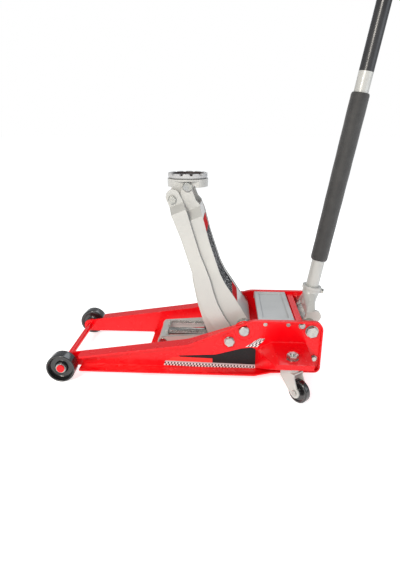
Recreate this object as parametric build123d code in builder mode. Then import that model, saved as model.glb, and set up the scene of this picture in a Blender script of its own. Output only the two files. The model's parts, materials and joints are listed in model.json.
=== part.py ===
from build123d import *
from math import asin, cos, degrees, hypot, radians, sin, sqrt
import os

os.makedirs("parts", exist_ok=True)

# Hydraulic trolley jack, millimetres. +X runs to the rear (the handle end), +Y to the right side,
# +Z up, and the jack stands on z = 0. It is drawn with its lift arm raised. The left side is -Y.

# Lifting geometry
saddle_top_raised = 500.0
saddle_top_lowered = 85.0
saddle_above_pin = 29.4
arm_length = 371.9
arm_pivot_z = 127.3
level_link_back = 36.0
level_link_drop = 29.0
saddle_ahead_of_pin = 2.5

# Chassis
axle_ahead_of_arm_pivot = 455.3
rear_behind_arm_pivot = 192.0
web_gap = 209.0
plate_t = 4.0
plate_bottom_z = 20.0
plate_top_z = 157.6
nose_r = 17.0
flange_width = 37.0
rear_flange_width = 12.0
flange_behind_axle = 38.6
ridge_z = 101.0
ridge_ahead_of_pivot = 138.0
crest_behind_pivot = 22.0
tie_ahead_of_pivot = 256.0
tie_width = 26.0
tie_t = 5.0

# Front wheels and their axle
wheel_r = 36.2
wheel_width = 32.5
wheel_inner_y = 129.3
axle_r = 8.0
clip_t = 2.0
running_fit = 0.06
side_gap = 0.5

# Casters
shelf_z = 99.0
shelf_reach = 117.5
lip_height = 12.0
bracket_rear_behind_pivot = 154.0
bracket_length = 85.0
bracket_flare = 38.5
bracket_t = 4.0
caster_behind_pivot = 109.0
caster_out = 86.5
caster_trail = 26.0
caster_turn = 50.0
caster_r = 28.0
caster_width = 22.0
caster_axle_r = 4.0
fork_t = 3.5
stud_r = 6.0

# Lift arm
arm_half_width = 70.0
arm_t = 5.0
neck_from = 318.0
ear_inner_y = 42.0
ear_t = 6.0
ear_r = 11.6
web_inset = 1.2
arm_shaft_r = 12.0
shaft_head_r = 13.8
hub_r = 18.0

# Levelling bars, saddle bracket and saddle
bar_inner_y = 74.0
bar_t = 6.0
bar_top_inner_y = 50.0
bar_bolt_r = 8.0
top_bolt_r = 6.0
saddle_pin_r = 7.0
bracket_ear_inner_y = 34.0
bracket_ear_t = 6.0
bracket_ear_r = 12.0
bracket_disc_r = 50.0
bracket_disc_t = 4.0
open_pivot_gap = 0.4
saddle_r = 48.4
saddle_rim = 13.0
saddle_notches = 12
stem_r = 11.0
pad_t = 3.0

# Hydraulic unit
ram_z = 69.0
ram_r = 14.0
cylinder_r = 28.0
reservoir_r = 38.0
link_arm_r = 66.0
link_arm_raised = 47.0
crosshead_ahead_of_pivot = 211.0
crosshead_length = 22.0
link_inner_y = 52.0
link_t = 6.0
link_half_height = 14.0
link_pin_r = 8.0
crosshead_pin_r = 7.0
spring_y = 30.0
spring_z = 87.5
spring_r = 5.5
spring_wire = 1.6
spring_to_pivot = 33.0
block_behind_pivot = 69.0
block_length = 49.0

# Handle and its socket
socket_behind_pivot = 165.8
socket_z = 130.5
handle_tilt = 8.9
handle_r = 16.5
tube_wall = 2.5
handle_length = 1080.0
handle_joint = 600.0
grip_r = handle_r + 2.5
grip_length = 150.0
sleeve_r = handle_r + 4.8
sleeve_from = 155.0
sleeve_length = 400.0
end_chamfer = 2.0
socket_bolt_r = 10.0
socket_ear_inner_y = 50.0
socket_ear_t = 10.0
socket_wall = 5.5
socket_top = 84.0
push_drop = 36.0
push_r = 9.0
plunger_r = 6.0
plunger_y = 22.0
plunger_gap = 0.5

# Tray cover and rear strap between the side plates
tray_behind_pivot = 34.5
tray_length = 89.0
tray_top_z = 156.5
tray_t = 3.0
tray_recess = 4.0
tray_skirt = 20.0
strap_bolt_at = (140.5, 144.8)
tie_bolt_at = (175.6, 57.4)
cross_bolt_r = 5.0
spacer_r = 9.0

# ---- Places worked out from these sizes

tilt = radians(handle_tilt)
handle_reach = (handle_length - end_chamfer) * sin(tilt) + grip_r * cos(tilt)
front_reach = axle_ahead_of_arm_pivot + wheel_r
pivot_x = (front_reach - socket_behind_pivot - handle_reach) / 2    # centres the whole length on x = 0
pivot = (pivot_x, arm_pivot_z)
axle = (pivot_x - axle_ahead_of_arm_pivot, wheel_r)
socket = (pivot_x + socket_behind_pivot, socket_z)
rear_x = pivot_x + rear_behind_arm_pivot
strap_bolt = (pivot_x + strap_bolt_at[0], strap_bolt_at[1])
tie_bolt = (pivot_x + tie_bolt_at[0], tie_bolt_at[1])
web_y = web_gap / 2
web_out = web_y + plate_t
caster_y = web_out + caster_out

pin_height = saddle_top_raised - saddle_above_pin - arm_pivot_z
low_height = saddle_top_lowered - saddle_above_pin - arm_pivot_z
raised = radians(180) - asin(pin_height / arm_length)
swing = radians(180) - asin(low_height / arm_length) - raised
saddle_pin = (pivot_x + arm_length * cos(raised), arm_pivot_z + pin_height)
level_pivot = (pivot_x - level_link_back, arm_pivot_z - level_link_drop)
top_pivot = (saddle_pin[0] - level_link_back, saddle_pin[1] - level_link_drop)
saddle_x = saddle_pin[0] - saddle_ahead_of_pin
saddle_seat_z = saddle_top_raised - saddle_rim
sides = (("left", -1), ("right", 1))


def lobe_point(turned):
    """The pull links' rear pivot on the arm, with the arm let down by this angle."""
    angle = radians(link_arm_raised) - turned
    return (pivot_x - link_arm_r * sin(angle), arm_pivot_z - link_arm_r * cos(angle))


crosshead_x = pivot_x - crosshead_ahead_of_pivot
link_rear = lobe_point(0)
link_length = hypot(link_rear[0] - crosshead_x, link_rear[1] - ram_z)
link_rear_low = lobe_point(swing)
crosshead_low_x = link_rear_low[0] - sqrt(link_length**2 - (link_rear_low[1] - ram_z) ** 2)
ram_stroke = crosshead_low_x - crosshead_x
link_slope = asin((link_rear[1] - ram_z) / link_length)
link_turn = link_slope - asin((link_rear_low[1] - ram_z) / link_length)

print("pivot", pivot, "axle", axle, "socket", socket)
print("saddle_pin", saddle_pin, "level_pivot", level_pivot, "top_pivot", top_pivot)
print("swing deg", degrees(swing), "ram stroke", ram_stroke, "ram mm per rad", ram_stroke / swing)
print("crosshead_x", crosshead_x, "link rad per rad", link_turn / swing, "link rear", link_rear)
print("caster", pivot_x + caster_behind_pivot, caster_y)


def at_y(y):
    """A side view seen from the left, local x = X and local y = Z; extruding goes towards -Y."""
    return Plane(origin=(0, y, 0), x_dir=(1, 0, 0), z_dir=(0, -1, 0))


def arm_plane(y):
    """A side view of the lift arm: local x up the arm, local y to its rear; extruding goes to +Y."""
    return Plane(origin=(pivot[0], y, pivot[1]), x_dir=(cos(raised), 0, sin(raised)), z_dir=(0, 1, 0))


def bar_plane(y):
    """The same directions as the lift arm, from the levelling bars' lower pivot."""
    return Plane(origin=(level_pivot[0], y, level_pivot[1]), x_dir=(cos(raised), 0, sin(raised)),
                 z_dir=(0, 1, 0))


def handle_plane(along):
    """Square to the handle at this distance from the socket pivot, local x to the rear."""
    axis = (sin(tilt), 0, cos(tilt))
    return Plane(origin=(socket[0] + along * axis[0], 0, socket[1] + along * axis[2]),
                 x_dir=(cos(tilt), 0, -sin(tilt)), z_dir=axis)


def caster_plane(out):
    """A side view of the left caster, local x along its trail, local y = Z, out from its mid plane."""
    trail = (cos(radians(caster_turn)), -sin(radians(caster_turn)), 0)
    across = (trail[1], -trail[0], 0)
    return Plane(origin=(pivot_x + caster_behind_pivot + out * across[0], -caster_y + out * across[1], 0),
                 x_dir=trail, z_dir=across)


def handed(part, sign):
    """A piece drawn on the left, or its mirror image for the right."""
    return part if sign < 0 else part.mirror(Plane.XZ)


def export_each(left_part, name):
    """The left piece and its mirror image, each in its own node."""
    for side, sign in sides:
        with BuildPart() as piece:
            add(handed(left_part, sign))
        piece.part.label = f"{side}_{name}"
        export_step(piece.part, f"parts/{side}_{name}.step")


def export_pair(left_part, name):
    """The left piece and its mirror image as the two solids of one node."""
    with BuildPart() as pair:
        for side, sign in sides:
            add(handed(left_part, sign))
    pair.part.label = name
    export_step(pair.part, f"parts/{name}.step")


def rod(center, radius, low_y, high_y):
    """A round bar across the jack."""
    with BuildPart() as bar:
        with BuildSketch(at_y(high_y)):
            with Locations(center):
                Circle(radius)
        extrude(amount=high_y - low_y)
    return bar.part


def hex_head(center, across, low_y, high_y):
    """A hexagon head or nut across the jack, its corners eased."""
    with BuildPart() as head:
        with BuildSketch(at_y(high_y)):
            with Locations(center):
                RegularPolygon(across / 2, 6, major_radius=False, rotation=15)
        extrude(amount=high_y - low_y)
        chamfer(head.faces().sort_by(Axis.Y)[0].edges(), 0.8)
        chamfer(head.faces().sort_by(Axis.Y)[-1].edges(), 0.8)
    return head.part


# ---- Side plates: webs with outward flanges, deep at the front and narrow at the raised rear

outline_points = (
    (axle[0] - nose_r, axle[1] + nose_r - 2),
    (pivot_x - ridge_ahead_of_pivot, ridge_z),
    (pivot_x + crest_behind_pivot, plate_top_z),
    (rear_x, plate_top_z),
    (rear_x, plate_bottom_z),
    (axle[0] - nose_r, plate_bottom_z),
)
nose_corner_r = min(15, (outline_points[0][1] - plate_bottom_z) / 2 - 0.5)
outline_radii = (nose_corner_r, 90, 60, 22, 15, nose_corner_r)
flange_start = axle[0] + flange_behind_axle
split_z = (plate_bottom_z + axle[1] + nose_r) / 2
narrow_y = web_y + rear_flange_width
wide_y = web_y + flange_width
ring_height = 1.2


def plate_outline(shrink):
    """The side plate's outline in side view, or the same drawn smaller by this much."""
    with BuildSketch() as shape:
        with BuildLine():
            FilletPolyline(outline_points, radius=outline_radii, close=True)
        make_face()
        if shrink:
            offset(amount=-shrink)
    return shape.sketch


def flange_band(low_z, high_z, plan_points):
    """The outline's rim between two heights, cut to its width in plan."""
    with BuildPart() as band:
        with BuildSketch(at_y(-web_out)):
            add(plate_outline(0))
            add(plate_outline(plate_t), mode=Mode.SUBTRACT)
        extrude(amount=flange_width)
        with BuildSketch(Plane.XY.offset(low_z)):
            with BuildLine():
                Polyline(plan_points, close=True)
            make_face()
        extrude(amount=high_z - low_z, mode=Mode.INTERSECT)
    return band.part


top_plan = (
    (flange_start, -web_out + 1), (flange_start, -wide_y + 4), (flange_start + 4, -wide_y),
    (pivot_x - ridge_ahead_of_pivot, -wide_y), (pivot_x - 30, -narrow_y - 5), (pivot_x + 12, -narrow_y),
    (rear_x + 1, -narrow_y), (rear_x + 1, -web_out + 1),
)
bracket_end_x = pivot_x + bracket_rear_behind_pivot
bracket_x = bracket_end_x - bracket_length
flare_x = bracket_x - bracket_flare
low_plan = (
    (flange_start, -web_out + 1), (flange_start, -wide_y + 4), (flange_start + 4, -wide_y),
    (flare_x - 4, -wide_y), (bracket_x, -narrow_y - 8), (bracket_end_x, -narrow_y),
    (rear_x + 1, -narrow_y), (rear_x + 1, -web_out + 1),
)

plate_holes = (
    (pivot, arm_shaft_r), (level_pivot, bar_bolt_r), (socket, socket_bolt_r), (axle, axle_r),
    (strap_bolt, cross_bolt_r), (tie_bolt, cross_bolt_r),
)
tray_x = pivot_x + tray_behind_pivot
tray_screws = [(tray_x + share * tray_length, tray_top_z - 9.5) for share in (0.19, 0.82)]
tray_screw_r = 3.0

with BuildPart() as plate:
    with BuildSketch(at_y(-web_y)):
        add(plate_outline(0))
    extrude(amount=plate_t)
    add(flange_band(split_z, plate_top_z + 1, top_plan))
    add(flange_band(plate_bottom_z - 1, split_z, low_plan))
    for center, ring_r in ((pivot, 27), (level_pivot, 20)):
        with BuildSketch(at_y(-web_out)):
            with Locations(center):
                Circle(ring_r)
                Circle(ring_r - 3, mode=Mode.SUBTRACT)
        extrude(amount=ring_height)
    for center, hole_r in plate_holes:
        with BuildSketch(at_y(-web_y)):
            with Locations(center):
                Circle(hole_r)
        extrude(amount=plate_t, mode=Mode.SUBTRACT)
    with BuildSketch(at_y(-web_y)):
        with Locations(*tray_screws):
            Circle(tray_screw_r)
    extrude(amount=plate_t, mode=Mode.SUBTRACT)

export_each(plate.part, "side_plate")

# ---- Caster brackets: pressed hoods welded to the webs, with a level shelf over each caster

foot_z = plate_bottom_z + plate_t + 0.2
hood_y = web_out + shelf_reach
caster_x = pivot_x + caster_behind_pivot


def hood_ring(y, left, shoulder_x, shoulder_z, low_z, inset):
    """One end of the hood in side view, drawn in by the sheet's thickness for the hollow."""
    with BuildSketch(at_y(-y)) as ring:
        with BuildLine():
            Polyline(
                (left + inset, low_z - 2 * inset), (left + inset, shoulder_z - inset),
                (shoulder_x + inset / 3, shelf_z - inset), (bracket_end_x - inset, shelf_z - inset),
                (bracket_end_x - inset, low_z - 2 * inset), close=True,
            )
        make_face()
    return ring.sketch


lip_z = shelf_z - lip_height
with BuildPart() as hood:
    add(hood_ring(web_out, flare_x, bracket_x, 78, foot_z, 0))
    add(hood_ring(hood_y, bracket_x, bracket_x + 6, shelf_z - 5, lip_z, 0))
    loft(ruled=True)
with BuildPart() as hood_hollow:
    add(hood_ring(web_out - 0.01, flare_x, bracket_x, 78, foot_z, bracket_t))
    add(hood_ring(hood_y - bracket_t, bracket_x, bracket_x + 6, shelf_z - 5, lip_z, bracket_t))
    loft(ruled=True)
with BuildPart() as bracket:
    add(hood.part)
    add(hood_hollow.part, mode=Mode.SUBTRACT)
    with BuildSketch(Plane.XY.offset(shelf_z)):
        with Locations((caster_x, -caster_y)):
            Circle(stud_r)
    extrude(amount=-bracket_t - 1, mode=Mode.SUBTRACT)

export_each(bracket.part, "caster_bracket")

# ---- Front axle, its collars and clips, and the roller wheels

wheel_outer_y = wheel_inner_y + wheel_width
hollow_depth = 15.0
hollow_r = wheel_r - 4.5
front_hub_r = axle_r + 6
hub_face_y = wheel_outer_y - 6
axle_end_y = hub_face_y + side_gap + clip_t + 0.5
axle_cap_t = 3.0

with BuildPart() as front_axle:
    add(rod(axle, axle_r, -axle_end_y, axle_end_y))
    for side, sign in sides:
        low_y, high_y = sorted((sign * axle_end_y, sign * (axle_end_y + axle_cap_t)))
        add(rod(axle, axle_r + 2, low_y, high_y))
    chamfer(front_axle.faces().sort_by(Axis.Y)[0].edges(), 1)
    chamfer(front_axle.faces().sort_by(Axis.Y)[-1].edges(), 1)
front_axle.part.label = "front_axle"
export_step(front_axle.part, "parts/front_axle.step")

with BuildPart() as axle_collars:
    for side, sign in sides:
        low_y, high_y = sorted((sign * web_out, sign * (wheel_inner_y - side_gap)))
        add(rod(axle, axle_r + 4, low_y, high_y))
        add(rod(axle, axle_r, low_y, high_y), mode=Mode.SUBTRACT)
axle_collars.part.label = "front_axle_collars"
export_step(axle_collars.part, "parts/front_axle_collars.step")

with BuildPart() as axle_clips:
    for side, sign in sides:
        low_y, high_y = sorted((sign * (hub_face_y + side_gap), sign * (hub_face_y + side_gap + clip_t)))
        add(rod(axle, axle_r + 4.5, low_y, high_y))
        add(rod(axle, axle_r, low_y, high_y), mode=Mode.SUBTRACT)
axle_clips.part.label = "front_wheel_clips"
export_step(axle_clips.part, "parts/front_wheel_clips.step")

with BuildPart() as wheel:
    with BuildSketch(Plane(origin=(axle[0], 0, axle[1]), x_dir=(0, -1, 0), z_dir=(1, 0, 0))) as tread:
        with BuildLine():
            FilletPolyline(
                (wheel_inner_y, axle_r + running_fit), (wheel_inner_y, wheel_r),
                (wheel_outer_y, wheel_r), (wheel_outer_y, hollow_r),
                (wheel_outer_y - hollow_depth, hollow_r - 3), (wheel_outer_y - hollow_depth, front_hub_r),
                (hub_face_y, front_hub_r), (hub_face_y, axle_r + running_fit),
                radius=(0, 4, 2.5, 1.2, 5, 3, 1, 0), close=True,
            )
        make_face()
    revolve(axis=Axis((axle[0], 0, axle[1]), (0, 1, 0)))

export_each(wheel.part, "front_wheel")

# ---- Cross members: front tie, rear spacer bar with its bolts, strap behind the tray

with BuildPart() as front_tie:
    with BuildSketch(Plane.XY.offset(plate_bottom_z)):
        with Locations((pivot_x - tie_ahead_of_pivot + tie_width / 2, 0)):
            Rectangle(tie_width, web_gap)
    extrude(amount=tie_t)
front_tie.part.label = "front_cross_tie"
export_step(front_tie.part, "parts/front_cross_tie.step")

bolt_grip = 18.0
bolt_head_t = 5.0
washer_t = 2.0

with BuildPart() as rear_spacer:
    add(rod(tie_bolt, spacer_r, -web_y, web_y))
    for side, sign in sides:
        low_y, high_y = sorted((sign * web_y, sign * (web_y - bolt_grip - 1)))
        add(rod(tie_bolt, cross_bolt_r, low_y, high_y), mode=Mode.SUBTRACT)
rear_spacer.part.label = "rear_spacer_bar"
export_step(rear_spacer.part, "parts/rear_spacer_bar.step")

strap_from = strap_bolt[0] - 12
strap_length = 15.5
strap_t = 4.0
strap_top_z = strap_bolt[1] + 6.5

with BuildPart() as strap:
    with BuildSketch(Plane.XY.offset(strap_top_z)):
        with Locations((strap_from + strap_length / 2, 0)):
            Rectangle(strap_length, web_gap)
    extrude(amount=-strap_t)
    for side, sign in sides:
        with BuildSketch(Plane.XY.offset(strap_top_z)):
            with Locations((strap_from + strap_length / 2, sign * (web_y - strap_t / 2))):
                Rectangle(strap_length, strap_t)
        extrude(amount=-24)
        low_y, high_y = sorted((sign * web_y, sign * (web_y - strap_t)))
        add(rod(strap_bolt, cross_bolt_r, low_y, high_y), mode=Mode.SUBTRACT)
strap.part.label = "rear_strap"
export_step(strap.part, "parts/rear_strap.step")

with BuildPart() as cross_bolts:
    for side, sign in sides:
        for center, grip in ((tie_bolt, bolt_grip), (strap_bolt, strap_t)):
            low_y, high_y = sorted((sign * (web_y - grip), sign * (web_out + washer_t)))
            add(rod(center, cross_bolt_r, low_y, high_y))
            low_y, high_y = sorted((sign * web_out, sign * (web_out + washer_t)))
            add(rod(center, cross_bolt_r + 3.2, low_y, high_y))
            low_y, high_y = sorted((sign * (web_out + washer_t), sign * (web_out + washer_t + bolt_head_t)))
            add(hex_head(center, 2.4 * cross_bolt_r, low_y, high_y))
cross_bolts.part.label = "rear_cross_bolts"
export_step(cross_bolts.part, "parts/rear_cross_bolts.step")

# ---- Tray cover: a pressed lid with a recessed pan, screwed through the webs by its skirts

tray_gap = 0.2
pan_inset = 12.0
tray_center_x = tray_x + tray_length / 2
tray_width = web_gap - 2 * tray_gap

with BuildPart() as tray:
    with BuildSketch(Plane.XY.offset(tray_top_z)):
        with Locations((tray_center_x, 0)):
            Rectangle(tray_length, tray_width)
    extrude(amount=-tray_t - tray_recess)
    fillet(tray.edges().group_by(Axis.Z)[-1], 2.5)
    with BuildSketch(Plane.XY.offset(tray_top_z)) as pan_mouth:
        with Locations((tray_center_x, 0)):
            RectangleRounded(tray_length - 2 * pan_inset, tray_width - 2 * pan_inset, 8)
    extrude(amount=-tray_recess, taper=30, mode=Mode.SUBTRACT)
    with BuildSketch(Plane.XY.offset(tray_top_z - tray_t)):
        with Locations((tray_center_x, 0)):
            Rectangle(tray_length - 2 * tray_t, tray_width - 2 * tray_t)
            RectangleRounded(tray_length - 2 * pan_inset + 5, tray_width - 2 * pan_inset + 5, 9,
                             mode=Mode.SUBTRACT)
    extrude(amount=-tray_recess, mode=Mode.SUBTRACT)
    for side, sign in sides:
        with BuildSketch(Plane.XY.offset(tray_top_z - tray_t - tray_recess)):
            with Locations((tray_center_x, sign * (tray_width - tray_t) / 2)):
                Rectangle(tray_length, tray_t)
        extrude(amount=-tray_skirt + tray_t + tray_recess)
        low_y, high_y = sorted((sign * web_y, sign * (web_y - 2 * tray_t)))
        for screw in tray_screws:
            add(rod(screw, tray_screw_r, low_y, high_y), mode=Mode.SUBTRACT)
tray.part.label = "tray_cover"
export_step(tray.part, "parts/tray_cover.step")

with BuildPart() as screws:
    for side, sign in sides:
        for screw in tray_screws:
            low_y, high_y = sorted((sign * (web_y - tray_gap - tray_t), sign * web_out))
            add(rod(screw, tray_screw_r, low_y, high_y))
            low_y, high_y = sorted((sign * web_out, sign * (web_out + 2.5)))
            add(rod(screw, tray_screw_r + 2, low_y, high_y))
screws.part.label = "tray_screws"
export_step(screws.part, "parts/tray_screws.step")

# ---- Casters: swivelling fork, wheel and axle under each hood's shelf

shelf_under_z = shelf_z - bracket_t
race_t = 4.7
crown_top_z = 72.0
crown_t = 4.0
boss_top_z = shelf_under_z - race_t - 0.3
boss_r = 18.0
crown_half = 20.0
leg_end_r = 13.0
fork_gap = 1.5
leg_out = caster_width / 2 + fork_gap
caster_center = (caster_x, -caster_y)
nut_t = 11.0

with BuildPart() as fork:
    for out in (leg_out + fork_t, -leg_out):
        with BuildSketch(caster_plane(out)) as leg:
            with BuildLine():
                Polyline((-crown_half, crown_top_z), (crown_half, crown_top_z),
                         (crown_half + 2, crown_top_z - 10),
                         (caster_trail + leg_end_r - 2, caster_r), (caster_trail - 9, caster_r - 10),
                         (-crown_half, crown_top_z - 18), close=True)
            make_face()
            with Locations((caster_trail, caster_r)):
                Circle(leg_end_r)
        extrude(amount=-fork_t)
    with BuildSketch(Plane.XY.offset(crown_top_z)):
        with Locations(caster_center):
            Rectangle(2 * crown_half, 2 * leg_out + 2 * fork_t, rotation=-caster_turn)
    extrude(amount=-crown_t)
    with BuildSketch(Plane.XY.offset(crown_top_z)):
        with Locations(caster_center):
            Circle(boss_r)
    extrude(amount=boss_top_z - crown_top_z, taper=8)
    with BuildSketch(Plane.XY.offset(crown_top_z - crown_t)):
        with Locations(caster_center):
            Circle(stud_r + running_fit)
    extrude(amount=boss_top_z - crown_top_z + crown_t, mode=Mode.SUBTRACT)
    with BuildSketch(caster_plane(leg_out + fork_t)):
        with Locations((caster_trail, caster_r)):
            Circle(caster_axle_r)
    extrude(amount=-2 * (leg_out + fork_t), mode=Mode.SUBTRACT)

with BuildPart() as stem:
    for radius, low_z, high_z in (
        (9, 62.8, crown_top_z - crown_t - 0.3), (stud_r, 62.8, shelf_z + washer_t + nut_t + 3),
        (boss_r, boss_top_z + 0.3, shelf_under_z), (14, shelf_z, shelf_z + washer_t),
    ):
        with BuildSketch(Plane.XY.offset(low_z)):
            with Locations(caster_center):
                Circle(radius)
        extrude(amount=high_z - low_z)

with BuildPart() as stem_nut:
    with BuildSketch(Plane.XY.offset(shelf_z + washer_t)):
        with Locations(caster_center):
            RegularPolygon(12, 6, major_radius=False)
            Circle(stud_r, mode=Mode.SUBTRACT)
    extrude(amount=nut_t)
    chamfer(stem_nut.faces().sort_by(Axis.Z)[-1].outer_wire().edges(), 1)

with BuildPart() as caster_tyre:
    with BuildSketch(caster_plane(caster_width / 2)):
        with Locations((caster_trail, caster_r)):
            Circle(caster_r)
            Circle(caster_axle_r + running_fit, mode=Mode.SUBTRACT)
    extrude(amount=-caster_width)
    fillet(caster_tyre.edges().filter_by(lambda e: e.geom_type == GeomType.CIRCLE and e.radius > 20), 5)

with BuildPart() as tyre_axle:
    with BuildSketch(caster_plane(leg_out + fork_t)):
        with Locations((caster_trail, caster_r)):
            Circle(caster_axle_r)
    extrude(amount=-2 * (leg_out + fork_t))
    for out, outward in ((leg_out + fork_t, 1), (-leg_out - fork_t, -1)):
        with BuildSketch(caster_plane(out)):
            with Locations((caster_trail, caster_r)):
                Circle(caster_axle_r + 2.5)
        extrude(amount=outward * 2.5)

export_each(fork.part, "caster_fork")
export_each(caster_tyre.part, "caster_wheel")
export_each(tyre_axle.part, "caster_axle")
export_pair(stem.part, "caster_studs")
export_pair(stem_nut.part, "caster_nuts")

# ---- Hydraulic unit: cylinder, oil tank, pump block, release valve and spring pegs

unit_center = (0, ram_z)
cylinder_front_x = pivot_x - 103
tank_front_x = pivot_x - 23
block_x = pivot_x + block_behind_pivot
block_rear_x = block_x + block_length
block_half_y = 46.0
block_low_z = 42.0
block_high_z = 114.0
tank_wall = 3.0
cap_t = 5.0
ram_tail_x = cylinder_front_x + 12
bore_end_x = ram_tail_x + ram_stroke + 6
valve_z = 70.0
valve_r = 6.0
plunger_z = socket[1] - push_drop
plunger_end_x = socket[0] - push_r - plunger_gap
plunger_depth = 5.0
pump_travel = 28.0
peg_r = 3.0


def along_x(x):
    """Square to the jack's length at this x: local x = Y, local y = Z, extruding to the rear."""
    return Plane(origin=(x, 0, 0), x_dir=(0, 1, 0), z_dir=(1, 0, 0))


with BuildPart() as cylinder:
    with BuildSketch(along_x(cylinder_front_x)):
        with Locations(unit_center):
            Circle(cylinder_r)
    extrude(amount=block_x - cylinder_front_x)
    chamfer(cylinder.faces().sort_by(Axis.X)[0].edges(), 3)
    with BuildSketch(along_x(cylinder_front_x)):
        with Locations(unit_center):
            Circle(ram_r + running_fit)
    extrude(amount=bore_end_x - cylinder_front_x, mode=Mode.SUBTRACT)
cylinder.part.label = "hydraulic_cylinder"
export_step(cylinder.part, "parts/hydraulic_cylinder.step")

filler = (pivot_x + 52, ram_z + reservoir_r)
with BuildPart() as tank:
    with BuildSketch(along_x(tank_front_x + cap_t)):
        with Locations(unit_center):
            Circle(reservoir_r)
            Circle(reservoir_r - tank_wall, mode=Mode.SUBTRACT)
    extrude(amount=block_x - tank_front_x - cap_t)
    with BuildSketch(Plane.XY.offset(filler[1] + 2)):
        with Locations((filler[0], 0)):
            Circle(5)
    extrude(amount=-8, mode=Mode.SUBTRACT)
tank.part.label = "oil_tank"
export_step(tank.part, "parts/oil_tank.step")

with BuildPart() as tank_cap:
    with BuildSketch(along_x(tank_front_x)):
        with Locations(unit_center):
            Circle(reservoir_r)
            Circle(cylinder_r, mode=Mode.SUBTRACT)
    extrude(amount=cap_t)
    chamfer(tank_cap.faces().sort_by(Axis.X)[0].outer_wire().edges(), 2)
    with BuildSketch(along_x(pivot_x - spring_to_pivot + side_gap)):
        with Locations((-spring_y, spring_z), (spring_y, spring_z)):
            Circle(peg_r)
    extrude(amount=tank_front_x + cap_t - pivot_x + spring_to_pivot - side_gap)
tank_cap.part.label = "oil_tank_cap"
export_step(tank_cap.part, "parts/oil_tank_cap.step")

with BuildPart() as plug:
    with BuildSketch(Plane.XY.offset(filler[1] - 4)):
        with Locations((filler[0], 0)):
            Circle(5)
    extrude(amount=6)
    with BuildSketch(Plane.XY.offset(filler[1] + 0.2)):
        with Locations((filler[0], 0)):
            Circle(7.5)
    extrude(amount=3)
plug.part.label = "oil_filler_plug"
export_step(plug.part, "parts/oil_filler_plug.step")

with BuildPart() as block:
    with BuildSketch(along_x(block_x)):
        with Locations((0, (block_low_z + block_high_z) / 2)):
            Rectangle(2 * block_half_y, block_high_z - block_low_z)
    extrude(amount=block_length)
    chamfer(block.edges().filter_by(Axis.X), 5)
    with BuildSketch(along_x(block_rear_x)):
        with Locations((-plunger_y, plunger_z), (plunger_y, plunger_z)):
            Circle(plunger_r + running_fit)
    extrude(amount=-plunger_depth - pump_travel - 8, mode=Mode.SUBTRACT)
    with BuildSketch(along_x(block_rear_x)):
        with Locations((0, valve_z)):
            Circle(valve_r + running_fit)
    extrude(amount=-20, mode=Mode.SUBTRACT)
block.part.label = "pump_block"
export_step(block.part, "parts/pump_block.step")

head_r = 9.0
head_t = 4.0
with BuildPart() as plunger:
    with BuildSketch(along_x(plunger_end_x)):
        with Locations((-plunger_y, plunger_z)):
            Circle(head_r)
    extrude(amount=-head_t)
    with BuildSketch(along_x(plunger_end_x - head_t)):
        with Locations((-plunger_y, plunger_z)):
            Circle(plunger_r)
    extrude(amount=block_rear_x - plunger_depth - plunger_end_x + head_t)
export_pair(plunger.part, "pump_plungers")

with BuildPart() as pump_spring:
    with BuildSketch(along_x(block_rear_x + side_gap)):
        with Locations((-plunger_y, plunger_z)):
            Circle(head_r - 0.5)
            Circle(head_r - 2.5, mode=Mode.SUBTRACT)
    extrude(amount=plunger_end_x - head_t - block_rear_x - 2 * side_gap)
export_pair(pump_spring.part, "pump_springs")

with BuildPart() as release_valve:
    with BuildSketch(along_x(block_rear_x - 18)):
        with Locations((0, valve_z)):
            Circle(valve_r)
    extrude(amount=22)
    with BuildSketch(along_x(block_rear_x + 4)):
        with Locations((0, valve_z)):
            Circle(valve_r + 2)
    extrude(amount=8)
release_valve.part.label = "release_valve"
export_step(release_valve.part, "parts/release_valve.step")

# ---- Ram, crosshead, pull links with their pins, return springs

crosshead = (crosshead_x, ram_z)
crosshead_half_y = 50.0
crosshead_half_z = 12.0
crosshead_rear_x = crosshead_x + crosshead_length / 2

with BuildPart() as ram:
    with BuildSketch(along_x(crosshead_rear_x)):
        with Locations(unit_center):
            Circle(ram_r)
    extrude(amount=ram_tail_x - crosshead_rear_x)
ram.part.label = "ram"
export_step(ram.part, "parts/ram.step")

with BuildPart() as crosshead_block:
    with BuildSketch(at_y(crosshead_half_y)):
        with Locations(crosshead):
            RectangleRounded(crosshead_length, 2 * crosshead_half_z, 6)
            Circle(crosshead_pin_r, mode=Mode.SUBTRACT)
    extrude(amount=2 * crosshead_half_y)
    with BuildSketch(along_x(crosshead_rear_x)):
        with Locations((-spring_y, spring_z), (spring_y, spring_z)):
            RectangleRounded(2 * spring_r + 3, 2 * spring_r - 3, 2)
        with Locations((-spring_y, spring_z - spring_r), (spring_y, spring_z - spring_r)):
            Rectangle(2 * spring_r + 3, 2 * spring_r - 3)
    extrude(amount=-6)
crosshead_block.part.label = "crosshead"
export_step(crosshead_block.part, "parts/crosshead.step")

link_outer_y = link_inner_y + link_t
with BuildPart() as crosshead_pin:
    add(rod(crosshead, crosshead_pin_r, -link_outer_y - side_gap, link_outer_y + side_gap))
    for side, sign in sides:
        low_y, high_y = sorted((sign * (link_outer_y + side_gap), sign * (link_outer_y + side_gap + 3)))
        add(rod(crosshead, crosshead_pin_r + 3, low_y, high_y))
crosshead_pin.part.label = "crosshead_pin"
export_step(crosshead_pin.part, "parts/crosshead_pin.step")

with BuildPart() as link:
    with BuildSketch(at_y(-link_inner_y)):
        with Locations(crosshead, link_rear):
            Circle(link_half_height)
        make_hull()
        with Locations(crosshead):
            Circle(crosshead_pin_r + running_fit, mode=Mode.SUBTRACT)
        with Locations(link_rear):
            Circle(link_pin_r, mode=Mode.SUBTRACT)
    extrude(amount=link_t)
    chamfer(link.faces().sort_by(Axis.Y)[0].outer_wire().edges(), 1)

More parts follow.
